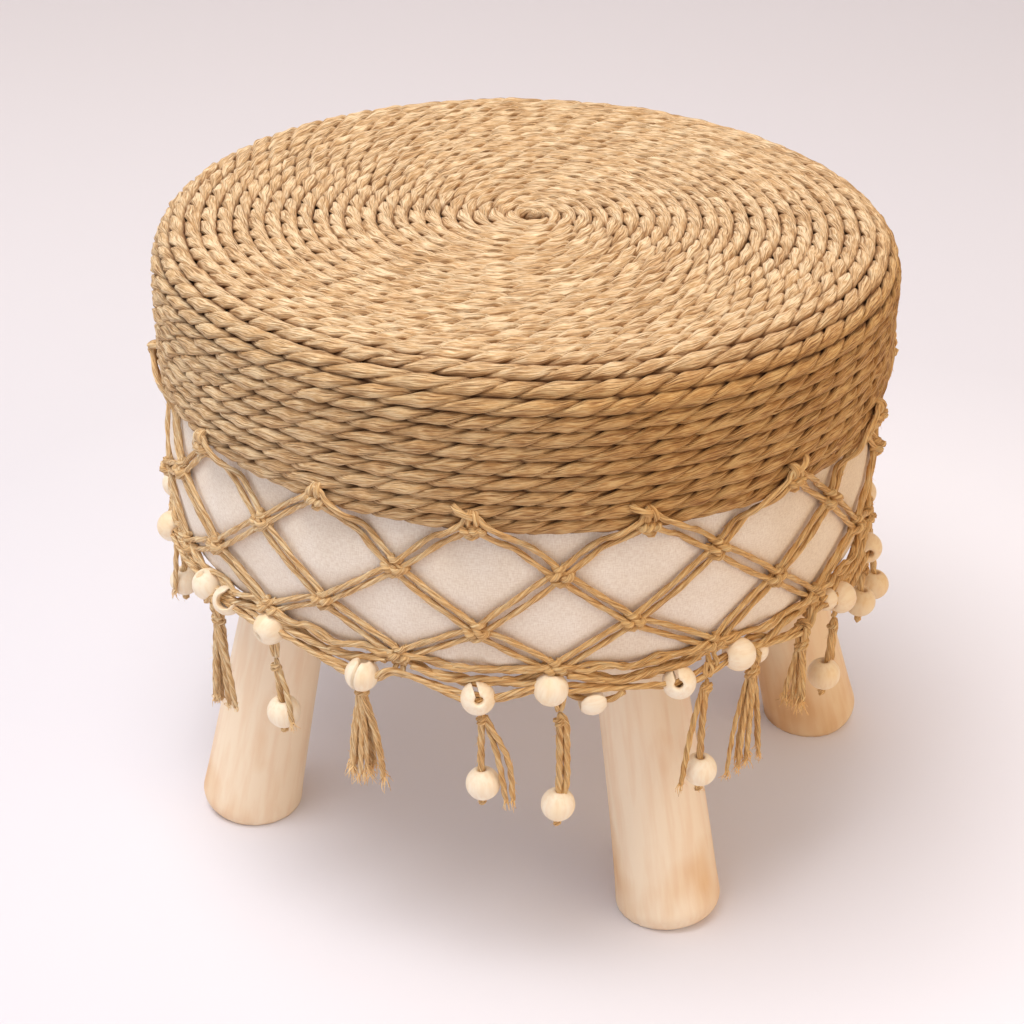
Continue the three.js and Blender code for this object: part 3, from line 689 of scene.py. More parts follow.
def knot_place(row, column):
    """A knot's place; columns go on past the last one round the drum."""
    trips, column = divmod(column, NET_COLUMNS)
    return KNOTS[row, column] + np.array([trips * NET_TRIP, 0])


def knots_down(column, way):
    """Places of the knots that a cord meets from the top row down to one side, and the last column."""
    columns = [column + step for step in ((0, 0, 1, 1) if way > 0 else (0, -1, -1, -2))]
    return [knot_place(row, at) for row, at in enumerate(columns)], columns[-1]


# The drum

LINEN_THICKNESS = 0.0018
ROPE_BITE = 0.0004  # how far the rope sinks into the cloth
NET_OFF_ROPE = 0.0004
DRUM_FULLNESS = 0.0006  # how far the cloth swells between the belly and the rope
WALL_FOOT = 0.1855
WALL_STEP = 0.0019
OVER_ENDS = 0.004  # how far from the hem and from the middle the cloth under the rope has its ends
OVER_ROWS = 24
EYE_RADIUS = 0.003  # of the hole in the cloth's inner side at the axis
AXIS_GAP = 0.001
FOAM_GAPS = (0.004, 0.001)  # inside the cloth, and below it
# How the soft drum gives: height or depth, and the distance from a cord over which it fades
SWELL = (0.0008, 0.011)
DENT = (0.0009, 0.005)
# Its slow waves: size, waves round the drum, and phase for each metre up
WAVES = [(0.00035, 7, 40), (0.00025, 17, -90)]
GIVE_EDGE = 0.004  # how far from the cloth's edges the give starts
GIVE_FADE = 0.008


def drum_radius(height):
    """Outside of the linen at a height."""
    under_hem = CAP_RADIUS - HEM_TUCK - 2 * ROPE_RADIUS + ROPE_BITE
    between = (DRUM_RADIUS + under_hem) / 2 + DRUM_FULLNESS
    heights = [DRUM_BOTTOM, DRUM_BOTTOM + DRUM_FILLET, BELLY_HEIGHT, (BELLY_HEIGHT + CAP_HEM) / 2, CAP_HEM]
    return np.interp(height, heights, [DRUM_FOOT_RADIUS, DRUM_FOOT_RADIUS, DRUM_RADIUS, between, under_hem])


def wall_radius(height):
    """What a cord of the net lies on: the linen, the rope above it, and free air below."""
    height = np.asarray(height, float)
    rope = eased(np.clip((height - CAP_HEM + 0.004) / 0.006, 0, 1))
    under = np.clip((DRUM_BOTTOM + DRUM_FILLET - height) / DRUM_FILLET, 0, 1)
    drawn_in = DRUM_FILLET * (1 - np.sqrt(1 - np.minimum(under, 0.62) ** 2))
    on_rope = CAP_RADIUS + NET_OFF_ROPE - hem_tuck(height)
    return drum_radius(height) * (1 - rope) + on_rope * rope - drawn_in


def on_drum(flat):
    """Points laid out flat (round the drum, up, out) put round the drum."""
    flat = np.asarray(flat, float)
    turn = flat[:, 0] / NET_RADIUS
    r = wall_radius(flat[:, 1]) + flat[:, 2]
    return np.stack([r * np.cos(turn), r * np.sin(turn), flat[:, 1]], axis=1)


def turned(profile, segments, radius_change=None):
    """A closed surface: a closed profile of (radius, height) turned round the axis."""
    profile = np.asarray(profile, float)
    turn = corners(segments) + np.zeros((len(profile), 1))
    r, z = (column[:, None] + 0 * turn for column in profile.T)
    if radius_change:
        r = r + radius_change(turn, z)
    points = np.stack([r * np.cos(turn), r * np.sin(turn), z], axis=-1)
    cloth = np.stack([turn * DRUM_RADIUS, z, 0 * r], axis=-1)
    surface = Surface()
    surface.add(points, grid(len(profile), segments, closed=True), fibres=cloth)
    return surface


def net_segments():
    """The net's straight runs, laid out flat: start and end, round the drum and up."""
    runs = []
    for column in range(NET_COLUMNS):
        for way in (-1, 1):
            knots, _ = knots_down(column, way)
            runs += list(zip(knots, knots[1:]))
    return runs


def linen_give(turn, height):
    """How far the soft drum is drawn in under the net's cords and swells between them."""
    flat = np.stack([turn * NET_RADIUS, height], axis=-1)
    nearest = np.full(turn.shape, 1.0)
    for start, end in net_segments():
        run = end - start
        off = flat - start
        off[..., 0] -= NET_TRIP * np.round((off[..., 0] - run[0] / 2) / NET_TRIP)
        share = np.clip((off @ run) / (run @ run), 0, 1)
        nearest = np.minimum(nearest, np.linalg.norm(off - share[..., None] * run, axis=-1))
    swell = SWELL[0] * (1 - np.exp(-((nearest / SWELL[1]) ** 2)))
    dent = DENT[0] * np.exp(-((nearest / DENT[1]) ** 2))
    waves = sum(size * np.sin(number * turn + rate * height) for size, number, rate in WAVES)
    above_foot = np.clip((height - DRUM_BOTTOM - GIVE_EDGE) / GIVE_FADE, 0, 1)
    below_rope = np.clip((CAP_HEM + GIVE_EDGE - height) / GIVE_FADE, 0, 1)
    return (swell - dent + waves) * above_foot * below_rope


def drum_pieces(cloth, foam):
    """The linen, folded in under the board and up over the foam, and the foam."""
    a = np.linspace(-math.pi / 2, 0, 9)
    fillet_radii = DRUM_FOOT_RADIUS - DRUM_FILLET + DRUM_FILLET * np.cos(a)
    fillet = np.stack([fillet_radii, DRUM_BOTTOM + DRUM_FILLET + DRUM_FILLET * np.sin(a)], axis=1)
    foot = [(CLOTH_HEM_RADIUS, DRUM_BOTTOM), *fillet]
    wall = [(drum_radius(z), z) for z in np.arange(WALL_FOOT, CAP_HEM + 0.0005, WALL_STEP)]
    depth = 2 * ROPE_RADIUS - ROPE_BITE
    over = [cap_point(at, depth)[:2] for at in np.linspace(CAP_LENGTH - OVER_ENDS, OVER_ENDS, OVER_ROWS)]
    outer = np.array(foot + wall + over)
    r, z = outer[::-1].T
    inner_heights = np.clip(z, DRUM_BOTTOM + LINEN_THICKNESS, SEAT_HEIGHT - depth - LINEN_THICKNESS)
    inner = np.stack([np.maximum(r - LINEN_THICKNESS, EYE_RADIUS), inner_heights], axis=1)
    shell = turned(np.concatenate([outer, inner]), 360, linen_give)
    cover = piece("linen_drum", shell, cloth, ["linen_cover"])
    high = [(r - FOAM_GAPS[0], z - FOAM_GAPS[1]) for r, z in outer[len(foot) + 1:] if r > 0.02]
    high[-1] = (AXIS_GAP, high[-1][1])
    low = [(AXIS_GAP, BOARD_TOP), (DRUM_FOOT_RADIUS - FOAM_GAPS[0], BOARD_TOP)]
    pad = piece("foam_pad", turned(low + high, 72), foam, ["foam_core"])


# Legs: degrees round the seat, and how far out the axis is at the floor and at the board

LEGS = {
    "left": (-158.0, 0.160, 0.1244),
    "front": (-60.0, 0.1651, 0.1111),
    "right": (11.4, 0.1826, 0.134),
    "back": (106.0, 0.1634, 0.1217),
}
LEG_FOOT_RADIUS = 0.0274
LEG_TOP_RADIUS = 0.0222
LEG_ROUNDING = 0.013
LEG_TOP = 0.1738
LEG_SINK = 0.006  # how far the rounded foot goes on below the floor, where it is cut level
LEG_TAPER = 1.6
LEG_SIDES = 64
LEG_BOW = 0.0012
# How a leg is off round: size as a share, waves round it, and phase for each metre up
LEG_WAVES = [(0.012, 2, 14), (0.007, 3, -22)]


def leg_profile(length):
    """A leg's radii and heights along its axis, from the sole up."""
    a = np.linspace(0.15, math.pi / 2, 10)
    rise = np.linspace(LEG_ROUNDING, length, 40)[1:]
    taper = (1 - np.clip(rise / length, 0, 1)) ** LEG_TAPER
    rounded = LEG_FOOT_RADIUS - LEG_ROUNDING + LEG_ROUNDING * np.sin(a)
    tapered = LEG_TOP_RADIUS + (LEG_FOOT_RADIUS - LEG_TOP_RADIUS) * taper
    heights = [[-LEG_SINK], LEG_ROUNDING * (1 - np.cos(a)) - LEG_SINK, rise]
    return np.concatenate([[AXIS_GAP], rounded, tapered])[:, None], np.concatenate(heights)[:, None]


def leg_pieces(material):
    turn = corners(LEG_SIDES)
    for name, (degrees, foot, top) in LEGS.items():
        away = directions_at(degrees)[1]
        base = away * foot
        run = away * top + np.array([0, 0, LEG_TOP]) - base
        axis = unit(run)
        length = np.linalg.norm(run) + LEG_FOOT_RADIUS
        first = unit(np.cross([0, 0, 1], axis))
        second = np.cross(axis, first)
        r, h = leg_profile(length)
        bends = chance.uniform(0, 2 * np.pi, 6)  # the first three are used
        off_round = sum(
            size * np.sin(number * turn + bend + rate * h)
            for (size, number, rate), bend in zip(LEG_WAVES, bends)
        )
        r = r * (1 + off_round)
        bow = LEG_BOW * np.sin(math.pi * np.clip(h / length, 0, 1) * 1.3 + bends[2])
        across = r * np.cos(turn) + bow
        up = r * np.sin(turn)
        points = base + across[..., None] * first + up[..., None] * second + h[..., None] * axis
        past = points[..., 2] - np.clip(points[..., 2], 0, LEG_TOP)
        points = points - (past / axis[2])[..., None] * axis
        fibres = np.stack([across, up, h + 3.0 * len(name) + 0 * across], axis=-1)
        surface = Surface()
        rings_tube(surface, points, fibres)
        piece(f"wooden_leg_{name}", surface, material, [f"leg_{name}"])


# The net

NET_CORD_RADIUS = 0.00155
NET_CORD_TWIST = 0.055
NET_CORD_STEP = 0.0015
KNOT_EDGE = 0.0052  # from a knot's middle to where its strands run straight
OPEN_GAP = (0.0045, 0.0060)  # between the middles of the two cords of an arm that falls to the right
CLOSE_GAP = (0.0038, 0.0054)
ON_CLOTH = CORD_RADIUS + 0.0001
SWAG_HEIGHT = 0.1755
SWAG_LANE = 0.0040
CROSS_DROP = 0.0035  # how far below the last row's knots the loose cords run, and how far they dip
CROSS_DIP = 0.0055
NET_HAIRS_PER_POINT = 0.25
LOOP_SCATTER = 0.3  # in millimetres
LOOP_FOOT = 0.0006  # how far out from the net's ground a small loop starts and ends
TAIL_CHANCE = 0.5
# In millimetres from a knot's middle: round the drum, up, and out. The folds are those of the upper
# and the lower cord at a hitch, and the stitch is given as shares of how far to one side it lies
FOLDS = {
    1: [(-3.6, 1.4, 1.9), (-1.3, 3.0, 1.9), (1.3, 3.0, 1.9), (3.6, 1.3, 1.9)],
    -1: [(-2.6, -3.4, 1.9), (-0.9, -1.9, 2.4), (0.9, -1.9, 2.4), (2.6, -3.4, 1.9)],
}
STITCH = [(0.3, 4.2, -2.4), (0.8, 3.9, 1.2), (1, 2.4, 3.4), (1.2, 0.2, 3.2), (1, -1.8, 0.8)]
STITCH_SIDES = (-1.7, 1.5)
TAIL = [(-0.5, 1.8, 1.6), (2.0, 4.0, 3.5), (4.8, 5.2, 2.8), (7.4, 6.0, 1.0), (8.6, 6.2, -1.4)]
# The small loops in front of a knot: from left to right, each with its ends and how far it stands
# out, in millimetres; those of a peak hang under the fold
KNOT_LOOPS = [
    [(-5.6, 0.7), (-0.1, -0.9), 6.4],
    [(-0.7, 1.4), (5.4, -0.5), 6.9],
    [(-3.8, -3.7), (3.4, -2.9), 5.2],
    [(-2.6, 3.8), (2.6, 3.3), 4.8],
]
PEAK_LOOPS = [
    [(-4.6, -3.4), (-0.6, -4.6), 5.0],
    [(-1.4, -3.0), (3.2, -4.2), 5.5],
    [(1.8, -2.2), (5.2, -4.4), 4.7],
    [(-2.9, -6.9), (2.0, -7.3), 3.8],
]


def upward(run):
    """The direction across a flat run that points up."""
    return np.array([-run[1], run[0]]) * (1 if run[0] > 0 else -1)


def arm(start, end, gap, lane):
    """One cord of a pair between two knots: lane is 1 for the upper cord and -1 for the lower."""
    length = np.linalg.norm(end - start)
    run = unit(end - start)
    upper = upward(run)
    apart = upper * lane * gap / 2
    slack = upper * chance.normal(0, 0.0003)
    edge = KNOT_EDGE / length
    near_knot = (0.88, ON_CLOTH + 0.0006)
    between = (1, ON_CLOTH)
    return [
        np.append(start + run * length * share + apart * ease + slack * (4 * share * (1 - share)), out)
        for share, (ease, out) in (
            (edge, near_knot), (0.3, between), (0.5, between), (0.7, between), (1 - edge, near_knot)
        )
    ]


def swag(column, way, lane):
    """One cord along the drum's lower edge from a knot of the last row to the next."""
    start, end = knot_place(3, column), knot_place(3, column + way)
    level = (lane + 0.5 if way > 0 else lane) * SWAG_LANE
    bends = chance.uniform(0, 2 * np.pi, 3)
    points = []
    for share in np.linspace(0.08, 0.97, 17):
        sag = 4 * share * (1 - share)
        x, y = start + (end - start) * share
        y += (SWAG_HEIGHT - NET_ROWS[3]) * sag + level * (0.35 + 0.65 * sag)
        y += (0.0012 * math.sin(bends[0] + share * 17) + 0.0006 * math.sin(bends[2] + share * 43)) * sag
        points.append(np.array([x, y, CORD_RADIUS + 0.0014 + 0.0014 * math.sin(bends[1] + share * 15)]))
    return points


def cross_cords(surface):
    """Loose cords that wander over the swag from every second knot of the last row to the next but
    one."""
    for column in range(NET_COLUMNS):
        bends = chance.uniform(0, 2 * np.pi, 2)
        if column % 2:
            continue
        start, middle, end = (knot_place(3, column + step) for step in range(3))
        points = []
        for share in np.linspace(0.04, 0.96, 23):
            x = start[0] + (end[0] - start[0]) * share
            height = np.interp(x, [start[0], middle[0], end[0]], [start[1], middle[1], end[1]])
            dip = abs(math.sin(2 * math.pi * share))
            y = height - CROSS_DROP - CROSS_DIP * dip + 0.0014 * math.sin(bends[0] + share * 24)
            points.append([x, y, CORD_RADIUS + 0.0034 + 0.0012 * math.sin(bends[1] + share * 19)])
        cord_through(surface, on_drum(points), 0.9)


def net_strand(column, way, lane):
    """Everything of a cord below the top row, laid out flat."""
    knots, last_column = knots_down(column, way)
    over = CORD_RADIUS * (1.9 if way > 0 else 1.0)
    points = []
    for row, (start, end) in enumerate(zip(knots, knots[1:])):
        gap = chance.uniform(*(OPEN_GAP if way > 0 else CLOSE_GAP))
        points += arm(start, end, gap, lane)
        if row < 2:
            upper = upward(unit(knots[row + 2] - start))
            points.append(np.append(end + upper * lane * gap * 0.36, over))
    points.append(np.append(knots[-1] + [0, lane * 0.0014], over))
    return points + swag(last_column, way, lane)


def beside_knot(middle, points):
    """Points given in millimetres from a knot's middle, laid out flat."""
    return np.array(points) * MM + [middle[0], middle[1], 0]


def small_loop(surface, middle, start, end, rise):
    """A short round of cord that comes out of the net, over it and back in."""
    start, end = middle + start * MM, middle + end * MM
    top = (start + end) / 2 + chance.normal(0, 0.0003, 2)
    points = [
        np.append(start, LOOP_FOOT),
        np.append(start + (end - start) * 0.12, rise * MM * 0.62),
        np.append(top, rise * MM),
        np.append(start + (end - start) * 0.88, rise * MM * 0.62),
        np.append(end, LOOP_FOOT),
    ]
    cord_through(surface, on_drum(points), 0.95, plies=3, twist=0.010)


def knot_loops(surface, row, column):
    """The small loops of a knot, on either hand and a little uneven."""
    side = chance.choice([-1, 1])
    size = chance.uniform(0.92, 1.06)
    for start, end, rise in PEAK_LOOPS if row == 0 else KNOT_LOOPS:
        ends = [np.array(at) * [side, 1] * size + chance.normal(0, LOOP_SCATTER, 2) for at in (start, end)]
        small_loop(surface, knot_place(row, column), *ends, rise)


def net_pieces(material):
    """Two cords hang folded from each hitch of the top row, and all are knotted together below."""
    cords, knots, swags = Surface(), Surface(), Surface()
    lines = []
    for column in range(NET_COLUMNS):
        middle = knot_place(0, column)
        for lane, fold in FOLDS.items():
            over = list(beside_knot(middle, fold))
            flat = net_strand(column, -1, lane)[::-1] + over + net_strand(column, 1, lane)
            line = smooth_line(on_drum(flat), NET_CORD_STEP)
            lines.append(line)
            twisted_cord(cords, line, NET_CORD_RADIUS, twist=NET_CORD_TWIST)
        lean = chance.choice([-1, 1])
        for side in STITCH_SIDES:
            stitch = np.array(STITCH) * [side * lean, 1, 1]
            cord_through(knots, on_drum(beside_knot(middle, stitch)), 0.85, plies=3)
        if chance.random() < TAIL_CHANCE:
            tail = np.array(TAIL) * [lean, 1, 1]
            cord_through(knots, on_drum(beside_knot(middle, tail)), 0.9)
        for row in range(len(NET_ROWS)):
            if (row, column) != FLUSH_PEAK:
                knot_loops(knots, row, column)
    cross_cords(swags)
    for line in lines:
        fuzz(cords, line, NET_CORD_RADIUS, int(len(line) * NET_HAIRS_PER_POINT))
    for name, surface in (("net_swag", swags), ("net_cords", cords), ("net_knots", knots)):
        piece(name, surface, material, ["macrame_net"])


# Tassels and the ring

RING_HEIGHT = 0.166
RING_RADIUS = 0.1898
# Tassels of loose strands: degrees round the seat, length, number of strands, how far they spread,
# and how much their cut ends are frayed
TASSELS = [
    (-142.5, 0.058, 12, 1.35, 0.5),
    (-113, 0.057, 12, 2.0, 1.2),
    (-53, 0.062, 9, 1.6, 0.8),
    (-42, 0.043, 7, 0.7, 1.3),
    (0, 0.052, 7, 1.0, 0.8),
    (13, 0.047, 6, 0.8, 1.0),
    (41, 0.058, 7, 1.2, 0.7),
    (67, 0.047, 6, 0.7, 1.1),
    (92, 0.055, 8, 1.0, 0.8),
    (105, 0.053, 7, 1.3, 0.7),
    (131, 0.049, 6, 0.8, 1.0),
    (159, 0.058, 8, 1.1, 0.8),
    (172, 0.055, 7, 1.0, 0.8),
]
TASSEL_KNOT_DROP = 0.0095
TASSEL_HALF_WIDTH = 0.0056  # at its lower end, for a spread of 1
STRAND_DEPTH = 0.0016  # of a tassel's two layers of strands, from their middle
STRAND_SWAY = 0.0016
STRAND_RADII = (0.00125, 0.0004)  # the least, and how much thicker one may be
FRAY_LENGTH = 0.0075
KNOT_CORD_RADIUS = 0.0014
# The ring's cords, in degrees round the seat: how far to both sides of a bead they run straight; how
# far from a bead they are led to a knot; from where, and over how much, they rise to it; and how far
# from such places a tassel has a place of its own
BEAD_STRAIGHT = 2.2
BEAD_FREE = 5
RISE_FROM, RISE_OVER = 3.5, 3
TASSEL_FREE = 1.5
RING_RISE = 0.0085
RING_SWING = 0.0013  # how far a ring's cord wanders up and down
RING_APART = 0.0009  # of its two cords from their middle


def on_ring(out, height=RING_HEIGHT):
    return out * RING_RADIUS + np.array([0, 0, height])


def frayed_end(surface, end, ahead, radius, length, amount):
    """Single fibres that spread from the cut end of a strand."""
    for _ in range(int(5 + 5 * amount)):
        sway = chance.normal(0, 0.30, 3) * [1, 1, 0]
        way = unit(ahead + sway)
        reach = length * chance.uniform(0.5, 1.1)
        start = end + chance.normal(0, radius * 0.35, 3) - ahead * radius
        bend = chance.normal(0, 0.0008, 3)
        line = smooth_line([start, start + way * reach * 0.5 + bend, start + way * reach], reach / 4)
        first, second = carried_frames(line)
        thin = np.linspace(1, 0.35, len(line))[:, None] * radius * 0.2
        corner = corners(4)
        s = along_line(line)[:, None] + chance.uniform(0, 40) + 0 * corner
        fibres = np.stack([0 * s, 0 * s, s], axis=-1)
        tube(surface, line, first, second, thin * np.cos(corner), thin * np.sin(corner), fibres)


def loose_strand(surface, points, radius, fray, amount):
    line = smooth_line(points, 0.0016)
    thin = np.interp(np.linspace(0, 1, len(line)), [0, 0.9, 1], [1, 1, 0.75])
    twisted_cord(surface, line, radius, plies=3, twist=0.026, thin=thin)
    frayed_end(surface, line[-1], unit(line[-1] - line[-3]), radius, fray, amount)
    fuzz(surface, line, radius, 9)


def wrapped_knot(surface, middle, beside, out, radius, turns, cord=KNOT_CORD_RADIUS):
    """A cord wound round a bundle: a short level spiral."""
    turn = np.linspace(0, turns * 2 * np.pi, int(turns * 10))
    rise = np.linspace(0.5, -0.5, len(turn)) * turns * cord * 1.7
    line = middle + np.outer(np.cos(turn) * radius, beside) + np.outer(np.sin(turn) * radius, out)
    line[:, 2] += rise + 0.0004 * np.sin(turn)
    twisted_cord(surface, smooth_line(line), cord, plies=3, twist=0.009)


def tassel_pieces(material):
    for number, (degrees, length, count, spread, fray) in enumerate(TASSELS, 1):
        beside, out = directions_at(degrees)
        top = on_ring(out)
        knot = top - np.array([0, 0, TASSEL_KNOT_DROP])
        surface = Surface()
        for k in range(count):
            share = (k + 0.5) / count * 2 - 1
            depth = STRAND_DEPTH if k % 2 else -STRAND_DEPTH
            wide = share * TASSEL_HALF_WIDTH * spread
            sway = chance.normal(0, STRAND_SWAY, 2)
            end = length * chance.uniform(0.88, 1.04)
            half = (end + 0.014) / 2
            points = [
                top + beside * share * 0.0024 + out * depth * 1.6 + [0, 0, 0.0024],
                knot + beside * share * 0.0017 + out * depth * 0.6,
                knot + beside * share * 0.0022 + out * depth * 0.8 - [0, 0, 0.005],
                top + beside * (wide * 0.72 + sway[0]) + out * (depth * 1.2 + sway[1] * 0.5) - [0, 0, half],
                top + beside * (wide + sway[0] * 1.6) + out * (depth * 1.5 + sway[1]) - [0, 0, end],
            ]
            radius = STRAND_RADII[0] + STRAND_RADII[1] * chance.random()
            loose_strand(surface, points, radius, FRAY_LENGTH * fray, 1 + fray)
        wrapped_knot(surface, knot, beside, unit(out + [0, 0, 0.35]), 0.0027, 1.6)
        wrapped_knot(surface, top, out, np.array([0, 0, 1.0]), 0.0034, 1.3)
        piece(f"tassel_{number:02d}", surface, material)


def degrees_apart(degrees, others):
    """How many degrees round the seat the nearest of some places is."""
    return min(abs((degrees - other + 180) % 360 - 180) for other in others)


def ring_piece(material, beads):
    """Two cords side by side round the stool, straight through the beads and up to the net's last
    row of knots between them, with two ties from each of those knots."""
    heights = {degrees_of(bead): bead[2] for bead in beads}
    anchors = [
        (at + side * BEAD_STRAIGHT, height)
        for at, height in heights.items()
        for side in (-1, 0, 1)
    ]
    ties = []
    for column in range(NET_COLUMNS):
        at = math.degrees(knot_place(3, column)[0] / NET_RADIUS)
        at = (at + 180) % 360 - 180
        free = degrees_apart(at, heights)
        height = RING_HEIGHT + RING_RISE * min(max(free - RISE_FROM, 0) / RISE_OVER, 1)
        if free > BEAD_FREE:
            anchors.append((at, height))
        ties.append((at, height))
    for degrees, *_ in TASSELS:
        if degrees_apart(degrees, [at for at, _ in anchors]) > TASSEL_FREE:
            anchors.append((degrees, RING_HEIGHT))
    anchors.sort()
    anchors.append((anchors[0][0] + 360, anchors[0][1]))
    surface = Surface()
    for lane in (-1, 1):
        points = []
        for n, (at, height) in enumerate(anchors):
            swing = RING_SWING * lane * (1 if n % 4 < 2 else -1)
            out = directions_at(at)[1]
            points.append(out * (RING_RADIUS + RING_APART * lane) + [0, 0, height + swing])
        cord_through(surface, points, 0.82)
    for at, height in ties:
        for side in (-1, 1):
            turn = math.radians(at) * NET_RADIUS
            flat = [
                (turn + side * 0.002, NET_ROWS[3] - 0.001, 0.0045),
                (turn + side * 0.003, NET_ROWS[3] - 0.006, 0.0052),
                (turn + side * 0.0016, (NET_ROWS[3] + height) / 2 - 0.002, 0.0048),
                (turn + side * 0.0022, height + 0.001, 0.0072),
                (turn + side * 0.0010, height - 0.0028, 0.0052),
            ]
            cord_through(surface, on_drum(flat), 0.8)
    piece("ring_cord", surface, material)


# Beads and pendants

COLLAR_BEAD_RADIUS = 0.0083
END_BEAD_RADIUS = 0.0084
BORE = 0.0022
END_BORE = 0.0021
OPEN_BORE = 0.0040
BEAD_SEGMENTS = 40
LIP = 0.0004
MOST_SHIFT = 0.0075
MOST_END_SHIFT = 0.004
# Where the photograph shows beads of the ring and of the pendants, in its pixels
PHOTO_COLLARS = {
    1: (212, 568), 2: (267, 618), 3: (362, 674), 4: (478, 698), 5: (551, 689), 6: (679, 682),
    7: (739, 654), 8: (840, 597), 21: (176, 512),
}
PHOTO_ENDS = {
    1: (284, 711), 2: (483, 783), 3: (558, 804), 4: (700, 769), 5: (822, 675), 6: (864, 600),
    12: (188, 585),
}
# How the beads lie that don't sit straight on their cord: the bore's direction and, where they are
# slotted, the slot's width and direction, in the frame's axes
LYING = {
    1: [(0.5, 0.1, -0.85)],
    2: [(0.75, 0.6, 0.3)],
    3: [(0.1, 0.1, 1.0), 0.0015, (-0.50, -0.86, 0)],
    4: [(0.1, -1.0, 0.45), 0.0022, (-0.25, 0, 1)],
    5: [(0.2, 0.3, 1.0)],
    6: [(-0.1, -1.0, 0.45), 0.0022, (-0.35, 0, 1)],
}
# Beads beside the ring: pixel, share of a collar bead's size, how far inside the ring's cord, and
# how the open ones lie, in the same terms
EXTRA_BEADS = [
    ((228, 600), 0.93, 0.001, [(-0.2, -1.0, 0.5), 0.0078, (0.8, 0, 0.7)]),
    ((592, 699), 0.93, 0.004, [(1.0, 0.2, 0.1), 0.0078, (0, -0.15, 1)]),
    ((755, 650), 0.8, 0.004, []),
    ((826, 599), 0.7, 0.002, []),
]
HANGING_BEAD = (-6.5, 0.1965, 0.1275)  # degrees round the seat, radius and height

PENDANTS = range(1, 13)
NEAR_BEAD = 0.013  # a pendant whose top is nearer than this to a bead of the ring hangs from it
TIE_RISE = 0.006  # of other pendants' ties above the ring
TOP_KNOT_DROP = 0.0062
BARE_STEPS = 7  # steps of a hanging cord, from its upper end, without loose fibres
HINGE_TAPER = (0, 0.0032)  # along the cord from its upper end
HINGE_SHARES = (0.42, 1.0)  # thickness there, as a share of the cord's
# Loose strands beside each pendant's cord, to its left (below zero) or right
LOOSE_BESIDE = [1, 2, 0, -1, 0, 0, -2, 2, 1, 2, 2, 1]
# Pendants with a second cord beside the first: 1 to its right, -1 to its left
DOUBLED = {3: 1, 5: 1, 8: 1, 11: -1}
DOUBLED_APART = 0.0036
DOUBLED_SHARE = 0.85  # how far down the second cord goes
PENDANT_HAIRS = 22
BEAD_TILT = 0.08
LOOSE_APART = (0.0060, 0.0034)  # of the first loose strand from the cord, and of each further one
LOOSE_PAST_BEAD = (0.002, 0.008)
LOOSE_RADIUS = 0.00165
LOOSE_FRAY = 0.0065


def centre_of(node):
    low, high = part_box(node)
    return (np.array(low) + np.array(high)) / 2


def pendant_ends(number):
    """The upper end of a pendant's cord, and the height of its lower end."""
    low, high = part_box(f"pendant_cord_{number:02d}")
    return np.array([(low[0] + high[0]) / 2, (low[1] + high[1]) / 2, high[2]]), low[2]


def towards_photo(place, pixel, most):
    """A place moved towards where the photograph shows it, at the same distance from the axis."""
    hit = through_camera(pixel, math.hypot(place[0], place[1])) if pixel else None
    if hit is None:
        return place
    shift = hit - place
    return place + shift * min(1, most / max(np.linalg.norm(shift), 1e-9))


def pendant_ties(material, beads):
    """Short cords from the ring, or the bead above, to the top of each pendant."""
    surface = Surface()
    for number in PENDANTS:
        top, _ = pendant_ends(number)
        above = min(beads, key=lambda bead: np.linalg.norm(bead - top))
        start = top * [1, 1, 0] + [0, 0, RING_HEIGHT + TIE_RISE]
        if np.linalg.norm(above - top) < NEAR_BEAD:
            start = above
        beside, out = directions_at(degrees_of(top))
        for side in (-1, 1):
            lean = beside * side * 0.0013
            route = [start + lean * 0.5, (start + top) / 2 + lean * 1.5 + out * 0.0006, top + lean * 0.6]
            cord_through(surface, route, 0.75)
    piece("pendant_ties", surface, material)


def bead_surface(middle, radius, bore, axis, slot_width=0.0, slot_towards=(0, 0, 1)):
    """A wooden bead round an axis. With a slot, its wall is cut away on one side from end to end."""
    axis = unit(np.asarray(axis, float))
    first = unit(np.cross(axis, [0.21, 0.13, 0.97]))
    second = np.cross(axis, first)
    end = math.sqrt(radius**2 - bore**2) * 0.96
    a = np.linspace(-1, 1, 19) * math.asin(min(end / radius, 1)) * 0.985
    r = np.concatenate([radius * np.cos(a), [bore] * 3])[:, None]
    h = np.concatenate([radius * np.sin(a), [end - LIP, 0, -end + LIP]])[:, None]
    rows = len(r)
    turn = np.linspace(0, 2 * np.pi, BEAD_SEGMENTS, endpoint=False) + 0 * r
    caps = []
    if slot_width:
        half = np.arcsin(np.minimum(slot_width / 2 / r, 0.95))
        start = math.atan2(np.dot(slot_towards, second), np.dot(slot_towards, first))
        turn = start + half + (2 * np.pi - 2 * half) * np.linspace(0, 1, BEAD_SEGMENTS)
        side = [row * BEAD_SEGMENTS for row in range(rows)]
        caps = [side, [corner + BEAD_SEGMENTS - 1 for corner in side][::-1]]
    x, y = r * np.cos(turn), r * np.sin(turn)
    points = middle + x[..., None] * first + y[..., None] * second + h[..., None] * axis
    fibres = np.stack([x, y, h + 0 * x + chance.uniform(0, 30)], axis=-1)
    surface = Surface()
    surface.add(points, grid(rows, BEAD_SEGMENTS, True, 1 if slot_width else 0), caps, fibres)
    return surface


